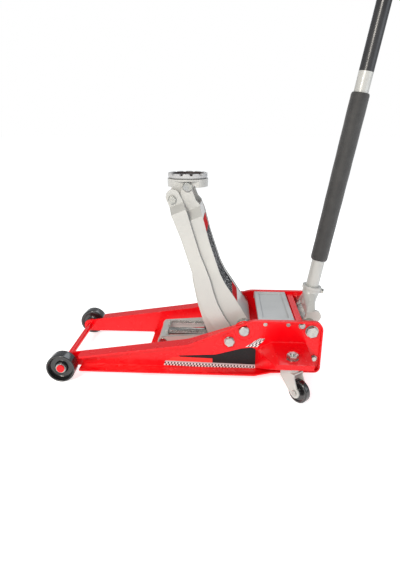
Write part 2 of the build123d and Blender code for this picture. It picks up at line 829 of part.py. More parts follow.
with BuildPart() as link_pin:
    add(rod(link_rear, link_pin_r, -arm_half_width - 0.5, -link_inner_y + 6))
    add(rod(link_rear, link_pin_r + 3, -link_inner_y, -link_inner_y + 4))

with BuildPart() as return_spring:
    with BuildSketch(along_x(crosshead_rear_x + 1)):
        with Locations((-spring_y, spring_z)):
            Circle(spring_r)
            Circle(spring_r - spring_wire, mode=Mode.SUBTRACT)
    extrude(amount=pivot_x - spring_to_pivot - crosshead_rear_x - 1)

export_each(link.part, "pull_link")
export_each(return_spring.part, "return_spring")
export_pair(link_pin.part, "link_pins")

# ---- Lift arm: a channel open to its front, a hub at its pivot and two ears at its top

joggle_start = 296.0
arm_rear = ((neck_from + 6, 11), (300, 9), (233, 0), (150, -6), (120, -4), (70, 6), (10, 15.7), (-6, 16))
arm_front = ((-25, -84), (10, -94), (50, -92), (105, -86), (163, -74), (200, -60), (250, -40),
             (neck_from, -24), (arm_length - 12, -24))
arm_ear = ((arm_length + 4, -14), (arm_length + 4, 8), (arm_length - 26, 6.6), (arm_length - 36, 6.6))
cheek_corners = (4, 60, 60, 60, 60, 60, 60, 4, 20, 40, 60, 60, 40, 40, 60, 60, 10, 4, 4, 0, 4)
slot_gap = 0.7
lobe_wall = 11.0
end_plate_t = 6.0
web_end = 320.0


def pin_in_arm(turned):
    """The pull links' rear pin in the arm's own directions, with the arm let down by this angle."""
    slope = link_slope - link_turn * turned / swing
    pin_x = crosshead_x + ram_stroke * turned / swing + link_length * cos(slope)
    dx, dz = pin_x - pivot[0], ram_z + link_length * sin(slope) - pivot[1]
    direction = raised + turned
    return (dx * cos(direction) + dz * sin(direction), dx * sin(direction) - dz * cos(direction))


pin_path = [pin_in_arm(step / 8 * swing) for step in range(9)]


def along_path(radius):
    """The area that a circle of this radius passes over on the pin's path in the arm."""
    with BuildSketch() as swept:
        for start, end in zip(pin_path, pin_path[1:]):
            with BuildSketch(mode=Mode.ADD):
                with Locations(start, end):
                    Circle(radius)
                make_hull()
    return swept.sketch


def arm_edge_view():
    """The lift arm seen on edge from its front: local x up the arm, local y to the right side."""
    return Plane(origin=arm_plane(0).origin, x_dir=arm_plane(0).x_dir, z_dir=-arm_plane(0).y_dir)


def plan_half(inner_y, outer_y, joggled_inner_y, joggled_outer_y):
    """One cheek's path in the edge view, straight, then stepped inwards to the ear."""
    return ((-60, inner_y), (joggle_start, inner_y), (neck_from, joggled_inner_y),
            (arm_length + 30, joggled_inner_y), (arm_length + 30, joggled_outer_y),
            (neck_from + 2, joggled_outer_y), (joggle_start + 2, outer_y), (-60, outer_y))


ear_outer_y = ear_inner_y + ear_t
with BuildPart() as cheek:
    with BuildSketch(arm_plane(ear_inner_y)):
        with BuildLine():
            FilletPolyline(arm_rear + arm_front + arm_ear, radius=cheek_corners, close=True)
        make_face()
        Circle(hub_r)
        with Locations((arm_length, 0)):
            Circle(ear_r)
        add(along_path(link_pin_r + slot_gap + lobe_wall))
        add(along_path(link_pin_r + slot_gap), mode=Mode.SUBTRACT)
        with Locations((arm_length, 0)):
            Circle(saddle_pin_r + running_fit, mode=Mode.SUBTRACT)
    extrude(amount=arm_half_width - ear_inner_y)
    with BuildSketch(arm_edge_view()):
        with BuildLine():
            Polyline(plan_half(arm_half_width - arm_t, arm_half_width, ear_inner_y, ear_outer_y), close=True)
        make_face()
    extrude(amount=150, both=True, mode=Mode.INTERSECT)

with BuildPart() as lift_arm:
    with BuildSketch(arm_plane(-arm_half_width)):
        with BuildLine():
            Polyline(tuple((min(u, web_end), v - web_inset) for u, v in arm_rear)
                     + tuple((min(u, web_end), v - web_inset - arm_t) for u, v in reversed(arm_rear)),
                     close=True)
        make_face()
        with Locations((web_end - end_plate_t / 2, -8)):
            Rectangle(end_plate_t, 30)
        Circle(hub_r)
    extrude(amount=2 * arm_half_width)
    with BuildSketch(arm_edge_view()):
        for side, sign in sides:
            with BuildLine():
                Polyline((-100, 0), (-100, sign * (arm_half_width - 1)),
                         (joggle_start, sign * (arm_half_width - 1)), (neck_from, sign * (ear_outer_y - 1)),
                         (arm_length + 30, sign * (ear_outer_y - 1)), (arm_length + 30, 0), close=True)
            make_face()
    extrude(amount=150, both=True, mode=Mode.INTERSECT)
    add(cheek.part)
    add(cheek.part.mirror(Plane.XZ))
    with BuildSketch(arm_plane(-arm_half_width)):
        Circle(arm_shaft_r + running_fit)
    extrude(amount=2 * arm_half_width, mode=Mode.SUBTRACT)
lift_arm.part.label = "lift_arm"
export_step(lift_arm.part, "parts/lift_arm.step")

shaft_head_t = 6.0
with BuildPart() as arm_shaft:
    add(rod(pivot, arm_shaft_r, -web_out, web_out))
    for side, sign in sides:
        low_y, high_y = sorted((sign * web_out, sign * (web_out + shaft_head_t)))
        add(rod(pivot, shaft_head_r, low_y, high_y))
    fillet(arm_shaft.faces().sort_by(Axis.Y)[0].edges(), 4)
    fillet(arm_shaft.faces().sort_by(Axis.Y)[-1].edges(), 4)
arm_shaft.part.label = "arm_pivot_shaft"
export_step(arm_shaft.part, "parts/arm_pivot_shaft.step")

with BuildPart() as arm_spacers:
    for side, sign in sides:
        low_y, high_y = sorted((sign * (arm_half_width + side_gap), sign * web_y))
        add(rod(pivot, hub_r, low_y, high_y))
        add(rod(pivot, arm_shaft_r, low_y, high_y), mode=Mode.SUBTRACT)
arm_spacers.part.label = "arm_pivot_spacers"
export_step(arm_spacers.part, "parts/arm_pivot_spacers.step")

# ---- Levelling bars, which keep the saddle upright, with their lower and upper bolts

bar_front = ((378, -13), (347, -13.5), (278, -15.3), (183, -24), (147, -31), (120, -34.7), (70, -33.6),
             (29, -28), (4, -16.5))
bar_rear = ((3, 16.7), (28, 12.6), (56, 7.6), (90, 4.6), (121, 6.3), (158, 11.1), (194, 12.4), (226, 12.8),
            (283, 18.2), (332, 23.8), (382, 20.5))
bar_end_r = 17.0
joggle_from = 340.0
joggle_to = 356.0

with BuildPart() as bar_strip:
    edge_view = Plane(origin=bar_plane(0).origin, x_dir=bar_plane(0).x_dir, z_dir=-bar_plane(0).y_dir)
    with BuildSketch(edge_view):
        with BuildLine():
            Polyline((-bar_end_r - 1, bar_inner_y), (joggle_from, bar_inner_y),
                     (joggle_to, bar_top_inner_y), (arm_length + 30, bar_top_inner_y),
                     (arm_length + 30, bar_top_inner_y + bar_t), (joggle_to + 1, bar_top_inner_y + bar_t),
                     (joggle_from + 1, bar_inner_y + bar_t), (-bar_end_r - 1, bar_inner_y + bar_t),
                     close=True)
        make_face()
    extrude(amount=60, both=True)

with BuildPart() as bar:
    with BuildSketch(bar_plane(bar_top_inner_y)):
        with BuildLine():
            Polyline(bar_front + bar_rear, close=True)
        make_face()
        Circle(bar_end_r)
        with Locations((arm_length + 6, 4)):
            Circle(bar_end_r)
        Circle(bar_bolt_r + running_fit, mode=Mode.SUBTRACT)
        with Locations((arm_length, 0)):
            Circle(top_bolt_r + open_pivot_gap, mode=Mode.SUBTRACT)
    extrude(amount=bar_inner_y + bar_t - bar_top_inner_y)
    add(bar_strip.part, mode=Mode.INTERSECT)

export_each(bar.part.mirror(Plane.XZ), "levelling_bar")

bolt_end_y = bar_inner_y - 2.5
bush_from_y = bar_inner_y + bar_t + side_gap
with BuildPart() as bar_bolts:
    for side, sign in sides:
        for radius, near_y, far_y in (
            (bar_bolt_r, bolt_end_y, web_out + washer_t),
            (bar_bolt_r + 2.5, bolt_end_y, bar_inner_y - side_gap),
            (bar_bolt_r + 4, bush_from_y, web_y), (bar_bolt_r + 5, web_out, web_out + washer_t),
        ):
            low_y, high_y = sorted((sign * near_y, sign * far_y))
            add(rod(level_pivot, radius, low_y, high_y))
        low_y, high_y = sorted((sign * (web_out + washer_t), sign * (web_out + washer_t + 7)))
        add(hex_head(level_pivot, 22, low_y, high_y))
bar_bolts.part.label = "levelling_bar_bolts"
export_step(bar_bolts.part, "parts/levelling_bar_bolts.step")

# ---- Saddle bracket, its pin and upper bar bolts

disc_top_z = saddle_seat_z
disc_low_z = disc_top_z - bracket_disc_t
ear_chord = 24.0
skirt_t = 5.0
skirt_drop = 15.0
saddle_center = (saddle_x, 0)
bracket_ear_outer_y = bracket_ear_inner_y + bracket_ear_t

with BuildPart() as saddle_bracket:
    with BuildSketch(Plane.XY.offset(disc_low_z)):
        with Locations(saddle_center):
            Circle(bracket_disc_r)
    extrude(amount=bracket_disc_t)
    for side, sign in sides:
        with BuildSketch(at_y(max(sign * bracket_ear_outer_y, sign * bracket_ear_inner_y))):
            with Locations(saddle_pin, top_pivot):
                Circle(bracket_ear_r)
            with Locations((saddle_x, disc_low_z - 1)):
                Rectangle(2 * ear_chord, 2)
            make_hull()
            with Locations(saddle_pin):
                Circle(saddle_pin_r, mode=Mode.SUBTRACT)
            with Locations(top_pivot):
                Circle(top_bolt_r, mode=Mode.SUBTRACT)
        extrude(amount=bracket_ear_t)
    with BuildSketch(Plane.XY.offset(disc_low_z)):
        with Locations(saddle_center):
            Circle(bracket_disc_r)
            Circle(bracket_disc_r - skirt_t, mode=Mode.SUBTRACT)
            Rectangle(2 * bracket_disc_r, 2 * bracket_ear_outer_y, mode=Mode.INTERSECT)
    extrude(amount=-skirt_drop)
    with BuildSketch(Plane.XY.offset(disc_low_z)):
        with Locations(saddle_center):
            Circle(stem_r + running_fit)
    extrude(amount=bracket_disc_t, mode=Mode.SUBTRACT)
saddle_bracket.part.label = "saddle_bracket"
export_step(saddle_bracket.part, "parts/saddle_bracket.step")

pin_head_t = 4.5
with BuildPart() as bracket_pin:
    add(rod(saddle_pin, saddle_pin_r, -ear_outer_y - 1, ear_outer_y + 1))
    for side, sign in sides:
        head_from_y = ear_outer_y + side_gap
        low_y, high_y = sorted((sign * head_from_y, sign * (head_from_y + pin_head_t)))
        add(rod(saddle_pin, saddle_pin_r + 4.5, low_y, high_y))
    chamfer(bracket_pin.faces().sort_by(Axis.Y)[0].edges(), 1.5)
    chamfer(bracket_pin.faces().sort_by(Axis.Y)[-1].edges(), 1.5)
bracket_pin.part.label = "saddle_pin"
export_step(bracket_pin.part, "parts/saddle_pin.step")

top_bolt_head_y = bar_top_inner_y + bar_t + side_gap
with BuildPart() as top_bolts:
    for side, sign in sides:
        low_y, high_y = sorted((sign * (bracket_ear_inner_y - 6), sign * top_bolt_head_y))
        add(rod(top_pivot, top_bolt_r, low_y, high_y))
        low_y, high_y = sorted((sign * top_bolt_head_y, sign * (top_bolt_head_y + 5)))
        add(hex_head(top_pivot, 18, low_y, high_y))
        low_y, high_y = sorted((sign * (bracket_ear_inner_y - 5), sign * bracket_ear_inner_y))
        add(hex_head(top_pivot, 18, low_y, high_y))
        low_y, high_y = sorted((sign * bracket_ear_outer_y, sign * (bar_top_inner_y - side_gap)))
        add(rod(top_pivot, top_bolt_r + 3, low_y, high_y))
top_bolts.part.label = "bracket_bolts"
export_step(top_bolts.part, "parts/bracket_bolts.step")

# ---- Saddle: a notched cup on a stem, its retaining clip and its rubber pad

cup_floor_t = 5.0
rim_t = 9.0
notch_depth = 5.0
notch_width = 9.0
stem_end_z = saddle_pin[1] + saddle_pin_r + 0.7
clip_low_z = disc_low_z - 4
clip_high_z = disc_low_z - 1.5

with BuildPart() as saddle:
    with BuildSketch(Plane.XY.offset(disc_top_z)):
        with Locations(saddle_center):
            Circle(saddle_r)
    extrude(amount=saddle_rim)
    chamfer(saddle.faces().sort_by(Axis.Z)[0].edges(), 2)
    with BuildSketch(Plane.XY.offset(disc_top_z + cup_floor_t)):
        with Locations(saddle_center):
            Circle(saddle_r - rim_t)
    extrude(amount=saddle_rim, mode=Mode.SUBTRACT)
    with BuildSketch(Plane.XY.offset(saddle_top_raised - notch_depth)):
        with Locations(saddle_center):
            with PolarLocations(saddle_r - rim_t / 2, saddle_notches):
                Rectangle(2 * rim_t, notch_width)
    extrude(amount=notch_depth + 1, mode=Mode.SUBTRACT)
    with BuildSketch(Plane.XY.offset(stem_end_z)):
        with Locations(saddle_center):
            Circle(stem_r)
    extrude(amount=disc_top_z + 1 - stem_end_z)
saddle.part.label = "saddle"
export_step(saddle.part, "parts/saddle.step")

with BuildPart() as saddle_clip:
    with BuildSketch(Plane.XY.offset(clip_low_z)):
        with Locations(saddle_center):
            Circle(stem_r + 4)
            Circle(stem_r, mode=Mode.SUBTRACT)
    extrude(amount=clip_high_z - clip_low_z)
saddle_clip.part.label = "saddle_retaining_clip"
export_step(saddle_clip.part, "parts/saddle_retaining_clip.step")

with BuildPart() as saddle_pad:
    with BuildSketch(Plane.XY.offset(disc_top_z + cup_floor_t)):
        with Locations(saddle_center):
            Circle(saddle_r - rim_t - 0.3)
    extrude(amount=pad_t)
saddle_pad.part.label = "saddle_pad"
export_step(saddle_pad.part, "parts/saddle_pad.step")

# ---- Handle socket: a round tube flared into a yoke, pivoting on two bolts, with a push bar for the pump

tube_from = 30.0
yoke_from = 22.0
seat_at = 32.0
flare_to = 68.0
ring_length = 8.0
socket_r = handle_r + running_fit + socket_wall
ring_r = socket_r + 2.4
yoke_half_x = 11.5
ear_outer = socket_ear_inner_y + socket_ear_t
push_bar = (socket[0], socket[1] - push_drop)
push_end_r = 6.0
clamp_at = 73.0
clamp_r = 4.0
clamp_slack = 0.3
clamp_head_at = ring_r + 2
clamp_axis = Plane(origin=handle_plane(clamp_at).origin, x_dir=(0, 1, 0), z_dir=handle_plane(0).x_dir)


def socket_side(y):
    """A side view of the socket at its pivot: local x to its rear, local y along the handle."""
    return Plane(origin=(socket[0], y, socket[1]), x_dir=(cos(tilt), 0, -sin(tilt)), z_dir=(0, -1, 0))


with BuildPart() as handle_socket:
    with BuildSketch(handle_plane(tube_from)):
        RectangleRounded(2 * yoke_half_x, 2 * ear_outer, 4)
    with BuildSketch(handle_plane(flare_to)):
        Circle(socket_r)
    loft()
    with BuildSketch(handle_plane(yoke_from)):
        RectangleRounded(2 * yoke_half_x, 2 * ear_outer, 4)
    extrude(amount=tube_from - yoke_from)
    with BuildSketch(handle_plane(flare_to)):
        Circle(socket_r)
    extrude(amount=socket_top - flare_to)
    with BuildSketch(handle_plane(socket_top - ring_length)):
        Circle(ring_r)
    extrude(amount=ring_length)
    with BuildSketch(clamp_axis.offset(socket_r - 3)):
        Circle(clamp_r + 3)
    extrude(amount=clamp_head_at - socket_r + 3)
    for side, sign in sides:
        with BuildSketch(at_y(max(sign * ear_outer, sign * socket_ear_inner_y))):
            with Locations(socket, push_bar):
                Circle(socket_bolt_r + 7)
            make_hull()
        extrude(amount=socket_ear_t)
        with BuildSketch(socket_side(max(sign * ear_outer, sign * socket_ear_inner_y))):
            with Locations((0, (yoke_from + 2) / 2)):
                Rectangle(2 * yoke_half_x, yoke_from + 2)
            with Locations((12, 21)):
                Circle(15)
        extrude(amount=socket_ear_t)
    with BuildSketch(at_y(ear_outer)):
        with Locations(socket):
            Circle(socket_bolt_r + running_fit)
        with Locations(push_bar):
            Circle(push_end_r)
    extrude(amount=2 * ear_outer, mode=Mode.SUBTRACT)
    with BuildSketch(handle_plane(seat_at)):
        Circle(handle_r + running_fit)
    extrude(amount=socket_top - seat_at, mode=Mode.SUBTRACT)
    with BuildSketch(handle_plane(yoke_from)):
        Circle(handle_r - 6)
    extrude(amount=seat_at - yoke_from, mode=Mode.SUBTRACT)
    with BuildSketch(clamp_axis):
        Circle(clamp_r)
    extrude(amount=clamp_head_at, mode=Mode.SUBTRACT)
handle_socket.part.label = "handle_socket"
export_step(handle_socket.part, "parts/handle_socket.step")

with BuildPart() as push_bar_piece:
    add(rod(push_bar, push_end_r, -ear_outer, ear_outer))
    add(rod(push_bar, push_r, -socket_ear_inner_y, socket_ear_inner_y))
push_bar_piece.part.label = "pump_push_bar"
export_step(push_bar_piece.part, "parts/pump_push_bar.step")

with BuildPart() as socket_bolts:
    for side, sign in sides:
        for radius, near_y, far_y in (
            (socket_bolt_r, socket_ear_inner_y - 3.5, web_out + washer_t),
            (socket_bolt_r + 3, socket_ear_inner_y - 3.5, socket_ear_inner_y - side_gap),
            (socket_bolt_r + 5, ear_outer + side_gap, web_y),
            (socket_bolt_r + 6, web_out, web_out + washer_t),
        ):
            low_y, high_y = sorted((sign * near_y, sign * far_y))
            add(rod(socket, radius, low_y, high_y))
        low_y, high_y = sorted((sign * (web_out + washer_t), sign * (web_out + washer_t + 8)))
        add(hex_head(socket, 26, low_y, high_y))
socket_bolts.part.label = "socket_bolts"
export_step(socket_bolts.part, "parts/socket_bolts.step")

with BuildPart() as clamp_screw:
    with BuildSketch(clamp_axis.offset(handle_r + clamp_slack)):
        Circle(clamp_r)
    extrude(amount=clamp_head_at - handle_r - clamp_slack)
    with BuildSketch(clamp_axis.offset(clamp_head_at)):
        Circle(clamp_r + 2.5)
    extrude(amount=5)
clamp_screw.part.label = "handle_clamp_screw"
export_step(clamp_screw.part, "parts/handle_clamp_screw.step")

# ---- Handle: two tubes joined by a spigot, a foam sleeve and a rubber grip

tube_bore_r = handle_r - tube_wall
spigot_reach = 45.0
with BuildPart() as lower_tube:
    with BuildSketch(handle_plane(seat_at + side_gap)):
        Circle(handle_r)
        Circle(tube_bore_r, mode=Mode.SUBTRACT)
    extrude(amount=handle_joint - seat_at - side_gap)
lower_tube.part.label = "lower_handle_tube"
export_step(lower_tube.part, "parts/lower_handle_tube.step")

with BuildPart() as upper_tube:
    with BuildSketch(handle_plane(handle_joint)):
        Circle(handle_r)
        Circle(tube_bore_r, mode=Mode.SUBTRACT)
    extrude(amount=handle_length - handle_joint - 6)
upper_tube.part.label = "upper_handle_tube"
export_step(upper_tube.part, "parts/upper_handle_tube.step")

with BuildPart() as spigot:
    with BuildSketch(handle_plane(handle_joint - spigot_reach)):
        Circle(tube_bore_r)
        Circle(tube_bore_r - tube_wall, mode=Mode.SUBTRACT)
    extrude(amount=2 * spigot_reach)
spigot.part.label = "handle_spigot"
export_step(spigot.part, "parts/handle_spigot.step")

with BuildPart() as sleeve:
    with BuildSketch(handle_plane(sleeve_from)):
        Circle(sleeve_r)
        Circle(handle_r, mode=Mode.SUBTRACT)
    extrude(amount=sleeve_length)
    fillet(sleeve.edges().filter_by(lambda e: e.geom_type == GeomType.CIRCLE and e.radius > handle_r + 1), 3)
sleeve.part.label = "foam_sleeve"
export_step(sleeve.part, "parts/foam_sleeve.step")

with BuildPart() as grip:
    with BuildSketch(handle_plane(handle_length - grip_length)):
        Circle(grip_r)
    extrude(amount=grip_length)
    chamfer(grip.faces().sort_by(Axis.Z)[-1].edges(), end_chamfer)
    with BuildSketch(handle_plane(handle_length - grip_length)):
        Circle(handle_r)
    extrude(amount=grip_length - 6, mode=Mode.SUBTRACT)
grip.part.label = "hand_grip"
export_step(grip.part, "parts/hand_grip.step")
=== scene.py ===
import json
import math

import bmesh
import bpy
import numpy as np
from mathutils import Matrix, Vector


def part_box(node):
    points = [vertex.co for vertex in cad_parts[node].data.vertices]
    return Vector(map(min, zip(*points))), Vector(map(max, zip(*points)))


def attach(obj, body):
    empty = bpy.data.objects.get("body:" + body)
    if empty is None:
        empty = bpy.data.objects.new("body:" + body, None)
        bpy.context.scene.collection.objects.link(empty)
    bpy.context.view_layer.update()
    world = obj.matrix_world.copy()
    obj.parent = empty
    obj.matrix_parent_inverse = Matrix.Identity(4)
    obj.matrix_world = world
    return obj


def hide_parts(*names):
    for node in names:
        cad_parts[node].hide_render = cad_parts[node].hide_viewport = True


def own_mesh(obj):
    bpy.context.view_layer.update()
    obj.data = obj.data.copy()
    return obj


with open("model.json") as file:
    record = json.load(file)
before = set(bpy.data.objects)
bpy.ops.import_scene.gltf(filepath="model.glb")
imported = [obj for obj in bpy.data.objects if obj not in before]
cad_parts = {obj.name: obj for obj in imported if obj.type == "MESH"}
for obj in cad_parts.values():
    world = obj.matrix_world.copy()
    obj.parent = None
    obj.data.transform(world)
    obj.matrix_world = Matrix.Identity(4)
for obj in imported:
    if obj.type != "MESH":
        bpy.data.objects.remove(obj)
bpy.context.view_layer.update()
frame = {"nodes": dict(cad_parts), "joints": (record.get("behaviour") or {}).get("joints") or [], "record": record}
nodes = frame["nodes"]
joints = {joint["name"]: joint for joint in frame["joints"]}
bodies = frame["record"]["behaviour"]["bodies"]
bodyOf = {node: body for body, members in bodies.items() for node in members}
pivotX = joints["arm_lift"]["pos_m"][0]        # lengthwise places are taken from the arm's pivot
print("frame loaded:", len(nodes), "nodes")


def startFinish(name):        # a material with one Principled shader
    material = bpy.data.materials.new(name)
    material.use_nodes = True
    tree = material.node_tree
    tree.nodes.clear()
    shader = tree.nodes.new("ShaderNodeBsdfPrincipled")
    output = tree.nodes.new("ShaderNodeOutputMaterial")
    tree.links.new(shader.outputs[0], output.inputs[0])
    return material, tree, shader


def addNode(tree, kind, inputs=None, **settings):        # inputs are values or sockets
    made = tree.nodes.new("ShaderNode" + kind)
    for key, value in settings.items():
        setattr(made, key, value)
    for key, value in (inputs or {}).items():
        if isinstance(value, bpy.types.NodeSocket):
            tree.links.new(value, made.inputs[key])
        else:
            made.inputs[key].default_value = value
    return made


def placeOf(tree, stretch=(1, 1, 1)):        # object coordinates, stretched along the axes
    coordinates = addNode(tree, "TexCoord").outputs["Object"]
    if stretch == (1, 1, 1):
        return coordinates
    return addNode(tree, "Mapping", {"Vector": coordinates, "Scale": stretch}).outputs[0]


def noiseOf(tree, place, scale, detail=3, roughness=0.55):
    return addNode(tree, "TexNoise", {"Vector": place, "Scale": scale, "Detail": detail,
                                      "Roughness": roughness}).outputs["Fac"]


def spread(tree, value, low, high, toLow=0.0, toHigh=1.0):        # low..high becomes toLow..toHigh
    return addNode(tree, "MapRange", {"Value": value, "From Min": low, "From Max": high,
                                      "To Min": toLow, "To Max": toHigh}).outputs[0]


def mixed(tree, share, first, second):        # colour between two by a share from 0 to 1
    mix = addNode(tree, "Mix", data_type="RGBA")
    for index, value in ((0, share), (6, first), (7, second)):
        if isinstance(value, bpy.types.NodeSocket):
            tree.links.new(value, mix.inputs[index])
        else:
            mix.inputs[index].default_value = value
    return mix.outputs[2]


def combined(tree, operation, first, second):
    return addNode(tree, "Math", {0: first, 1: second}, operation=operation).outputs[0]


def edgesOf(tree, radius):        # how near an edge, 0 to 1, and the normal eased over this radius
    eased = addNode(tree, "Bevel", {"Radius": radius}, samples=4).outputs[0]
    normal = addNode(tree, "NewGeometry").outputs["Normal"]
    facing = addNode(tree, "VectorMath", {0: eased, 1: normal}, operation="DOT_PRODUCT").outputs["Value"]
    return spread(tree, facing, 0.995, 0.9), eased


def rgba(color):
    return (*color, 1.0)


# sprayed enamel: two tones by slow noise, a lighter edge that is partly paint wear and partly a painted highlight,
# a little dust on top faces, orange peel
def enamel(name, color, second, roughness, metallic=0.0, peel=0.10, wearAndHighlightColor=None, dust=0.06, coat=0.25,
           wearAndHighlightShare=0.6):
    material, tree, shader = startFinish(name)
    place = placeOf(tree)
    near, eased = edgesOf(tree, 0.0009)
    tone = mixed(tree, spread(tree, noiseOf(tree, place, 9), 0.35, 0.65), rgba(color), rgba(second))
    patches = spread(tree, noiseOf(tree, place, 140, 5), 0.45, 0.62)
    # lighter edges: partly paint wear, partly a painted highlight where light catches the edges
    wearAndHighlightMask = combined(tree, "MULTIPLY", near, patches)
    tone = mixed(tree, combined(tree, "MULTIPLY", wearAndHighlightMask, wearAndHighlightShare), tone, rgba(wearAndHighlightColor or second))
    up = addNode(tree, "SeparateXYZ", {0: addNode(tree, "NewGeometry").outputs["Normal"]}).outputs[2]
    grains = spread(tree, noiseOf(tree, place, 55, 6, 0.7), 0.45, 0.75)
    dusty = combined(tree, "MULTIPLY", combined(tree, "MULTIPLY", spread(tree, up, 0.6, 1.0), grains), dust)
    tone = mixed(tree, dusty, tone, rgba((0.42, 0.38, 0.34)))
    tree.links.new(tone, shader.inputs["Base Color"])
    rough = spread(tree, noiseOf(tree, place, 30, 4), 0.3, 0.7, roughness * 0.8, roughness * 1.25)
    tree.links.new(rough, shader.inputs["Roughness"])
    bump = addNode(tree, "Bump", {"Height": noiseOf(tree, place, 900, 2), "Strength": peel,
                                  "Distance": 0.0004, "Normal": eased})
    tree.links.new(bump.outputs[0], shader.inputs["Normal"])
    shader.inputs["Metallic"].default_value = metallic
    shader.inputs["IOR"].default_value = 1.38
    shader.inputs["Coat Weight"].default_value = coat
    shader.inputs["Coat Roughness"].default_value = 0.08
    return material


# bright metal: a patchy tint, cloudy roughness and fine scratches along the stretch
def plating(name, color, second, roughness, grainStretch=(1, 1, 1), spangle=60, bumpStrength=0.08):
    material, tree, shader = startFinish(name)
    place = placeOf(tree)
    eased = edgesOf(tree, 0.0006)[1]
    cloud = spread(tree, noiseOf(tree, place, spangle, 4), 0.35, 0.68)
    tree.links.new(mixed(tree, cloud, rgba(color), rgba(second)), shader.inputs["Base Color"])
    lines = noiseOf(tree, placeOf(tree, grainStretch), 800, 2)
    rough = spread(tree, noiseOf(tree, place, spangle * 2, 3), 0.3, 0.7, roughness * 0.7, roughness * 1.4)
    tree.links.new(rough, shader.inputs["Roughness"])
    bump = addNode(tree, "Bump", {"Height": lines, "Strength": bumpStrength, "Distance": 0.0002,
                                  "Normal": eased})
    tree.links.new(bump.outputs[0], shader.inputs["Normal"])
    shader.inputs["Metallic"].default_value = 1.0
    return material


# moulded black: fine grain, grey scuffs where edges and treads rub
def mouldedBlack(name, color, second, roughness, grain=1500, strength=0.2, scuff=0.5, base=0.25, coat=0.0):
    material, tree, shader = startFinish(name)
    place = placeOf(tree)
    near, eased = edgesOf(tree, 0.0010)
    rubs = spread(tree, noiseOf(tree, place, 160, 6, 0.7), 0.5, 0.72)
    share = combined(tree, "MULTIPLY", combined(tree, "MAXIMUM", near, base), rubs)
    tone = mixed(tree, combined(tree, "MULTIPLY", share, scuff), rgba(color), rgba(second))
    tree.links.new(tone, shader.inputs["Base Color"])
    tree.links.new(spread(tree, rubs, 0, 1, roughness * 0.85, min(1.0, roughness * 1.3)),
                   shader.inputs["Roughness"])
    bump = addNode(tree, "Bump", {"Height": noiseOf(tree, place, grain, 3), "Strength": strength,
                                  "Distance": 0.0004, "Normal": eased})
    tree.links.new(bump.outputs[0], shader.inputs["Normal"])
    shader.inputs["Coat Weight"].default_value = coat
    shader.inputs["Coat Roughness"].default_value = 0.15
    return material


# closed-cell foam: small cells as pits whose hollows are darkened by painted shade, a duller skin and slow random
# tone changes
def foamRubber(name, color, second):
    material, tree, shader = startFinish(name)
    place = placeOf(tree)
    cells = addNode(tree, "TexVoronoi", {"Vector": place, "Scale": 1400}, feature="F1").outputs["Distance"]
    tone = mixed(tree, spread(tree, noiseOf(tree, place, 40, 4), 0.35, 0.7), rgba(color), rgba(second))
    # painted shade: the colour darkens towards each cell's centre, the bottom of its pit
    paintedPitShade = mixed(tree, spread(tree, cells, 0.05, 0.4, 0.45, 0.0), tone, rgba((0.010, 0.010, 0.011)))
    tree.links.new(paintedPitShade, shader.inputs["Base Color"])
    bump = addNode(tree, "Bump", {"Height": cells, "Strength": 0.35, "Distance": 0.0005})
    tree.links.new(bump.outputs[0], shader.inputs["Normal"])
    shader.inputs["Roughness"].default_value = 0.62
    shader.inputs["Sheen Weight"].default_value = 0.25
    return material


# printed film: one ink colour, a faint mottling and a soft gloss
def printed(name, color, second):
    material, tree, shader = startFinish(name)
    place = placeOf(tree)
    tone = mixed(tree, spread(tree, noiseOf(tree, place, 220, 4), 0.4, 0.7), rgba(color), rgba(second))
    tree.links.new(tone, shader.inputs["Base Color"])
    rough = spread(tree, noiseOf(tree, place, 60, 3), 0.3, 0.7, 0.38, 0.5)
    tree.links.new(rough, shader.inputs["Roughness"])
    shader.inputs["Specular IOR Level"].default_value = 0.25        # film shines little
    return material


# printed chequers: black where the sum of the whole parts of the map's two directions is odd
def chequered(name, columns, rows):
    material, tree, shader = startFinish(name)
    across = addNode(tree, "UVMap", uv_map="across").outputs[0]
    placed = addNode(tree, "Mapping", {"Vector": across, "Scale": (columns, rows, 1)}).outputs[0]
    squares = addNode(tree, "TexChecker", {"Vector": placed, "Scale": 1.0}).outputs["Fac"]
    ink = mixed(tree, spread(tree, noiseOf(tree, placeOf(tree), 200, 3), 0.4, 0.7), rgba((0.86, 0.86, 0.86)),
                rgba((0.78, 0.78, 0.78)))
    tree.links.new(mixed(tree, squares, ink, rgba((0.012, 0.012, 0.012))), shader.inputs["Base Color"])
    shader.inputs["Roughness"].default_value = 0.35
    return material


# a notice strip: red ends, black between them, with broken white bars and blocks but no lettering
def noticeStrip(name):
    material, tree, shader = startFinish(name)
    across = addNode(tree, "UVMap", uv_map="across").outputs[0]
    parts = addNode(tree, "SeparateXYZ", {0: across})
    along, wide = parts.outputs[0], parts.outputs[1]
    lines = addNode(tree, "TexBrick", {"Vector": across, "Color1": rgba((0.82, 0.82, 0.82)),
                    "Color2": rgba((0.25, 0.25, 0.26)), "Mortar": rgba((0.012, 0.012, 0.014)),
                    "Scale": 24.0, "Mortar Size": 0.035, "Brick Width": 0.42, "Row Height": 0.9}).outputs[0]
    speckle = spread(tree, noiseOf(tree, placeOf(tree), 260, 2), 0.54, 0.58)
    ink = mixed(tree, speckle, rgba((0.012, 0.012, 0.014)), lines)
    margin = combined(tree, "GREATER_THAN", wide, 0.86)        # the far margin is left plain
    ink = mixed(tree, margin, ink, rgba((0.012, 0.012, 0.014)))
    ends = combined(tree, "MAXIMUM", combined(tree, "LESS_THAN", along, 0.10),
                    combined(tree, "GREATER_THAN", along, 0.86))
    tree.links.new(mixed(tree, ends, ink, rgba((0.55, 0.012, 0.015))), shader.inputs["Base Color"])
    shader.inputs["Roughness"].default_value = 0.7
    shader.inputs["Specular IOR Level"].default_value = 0.02
    return material


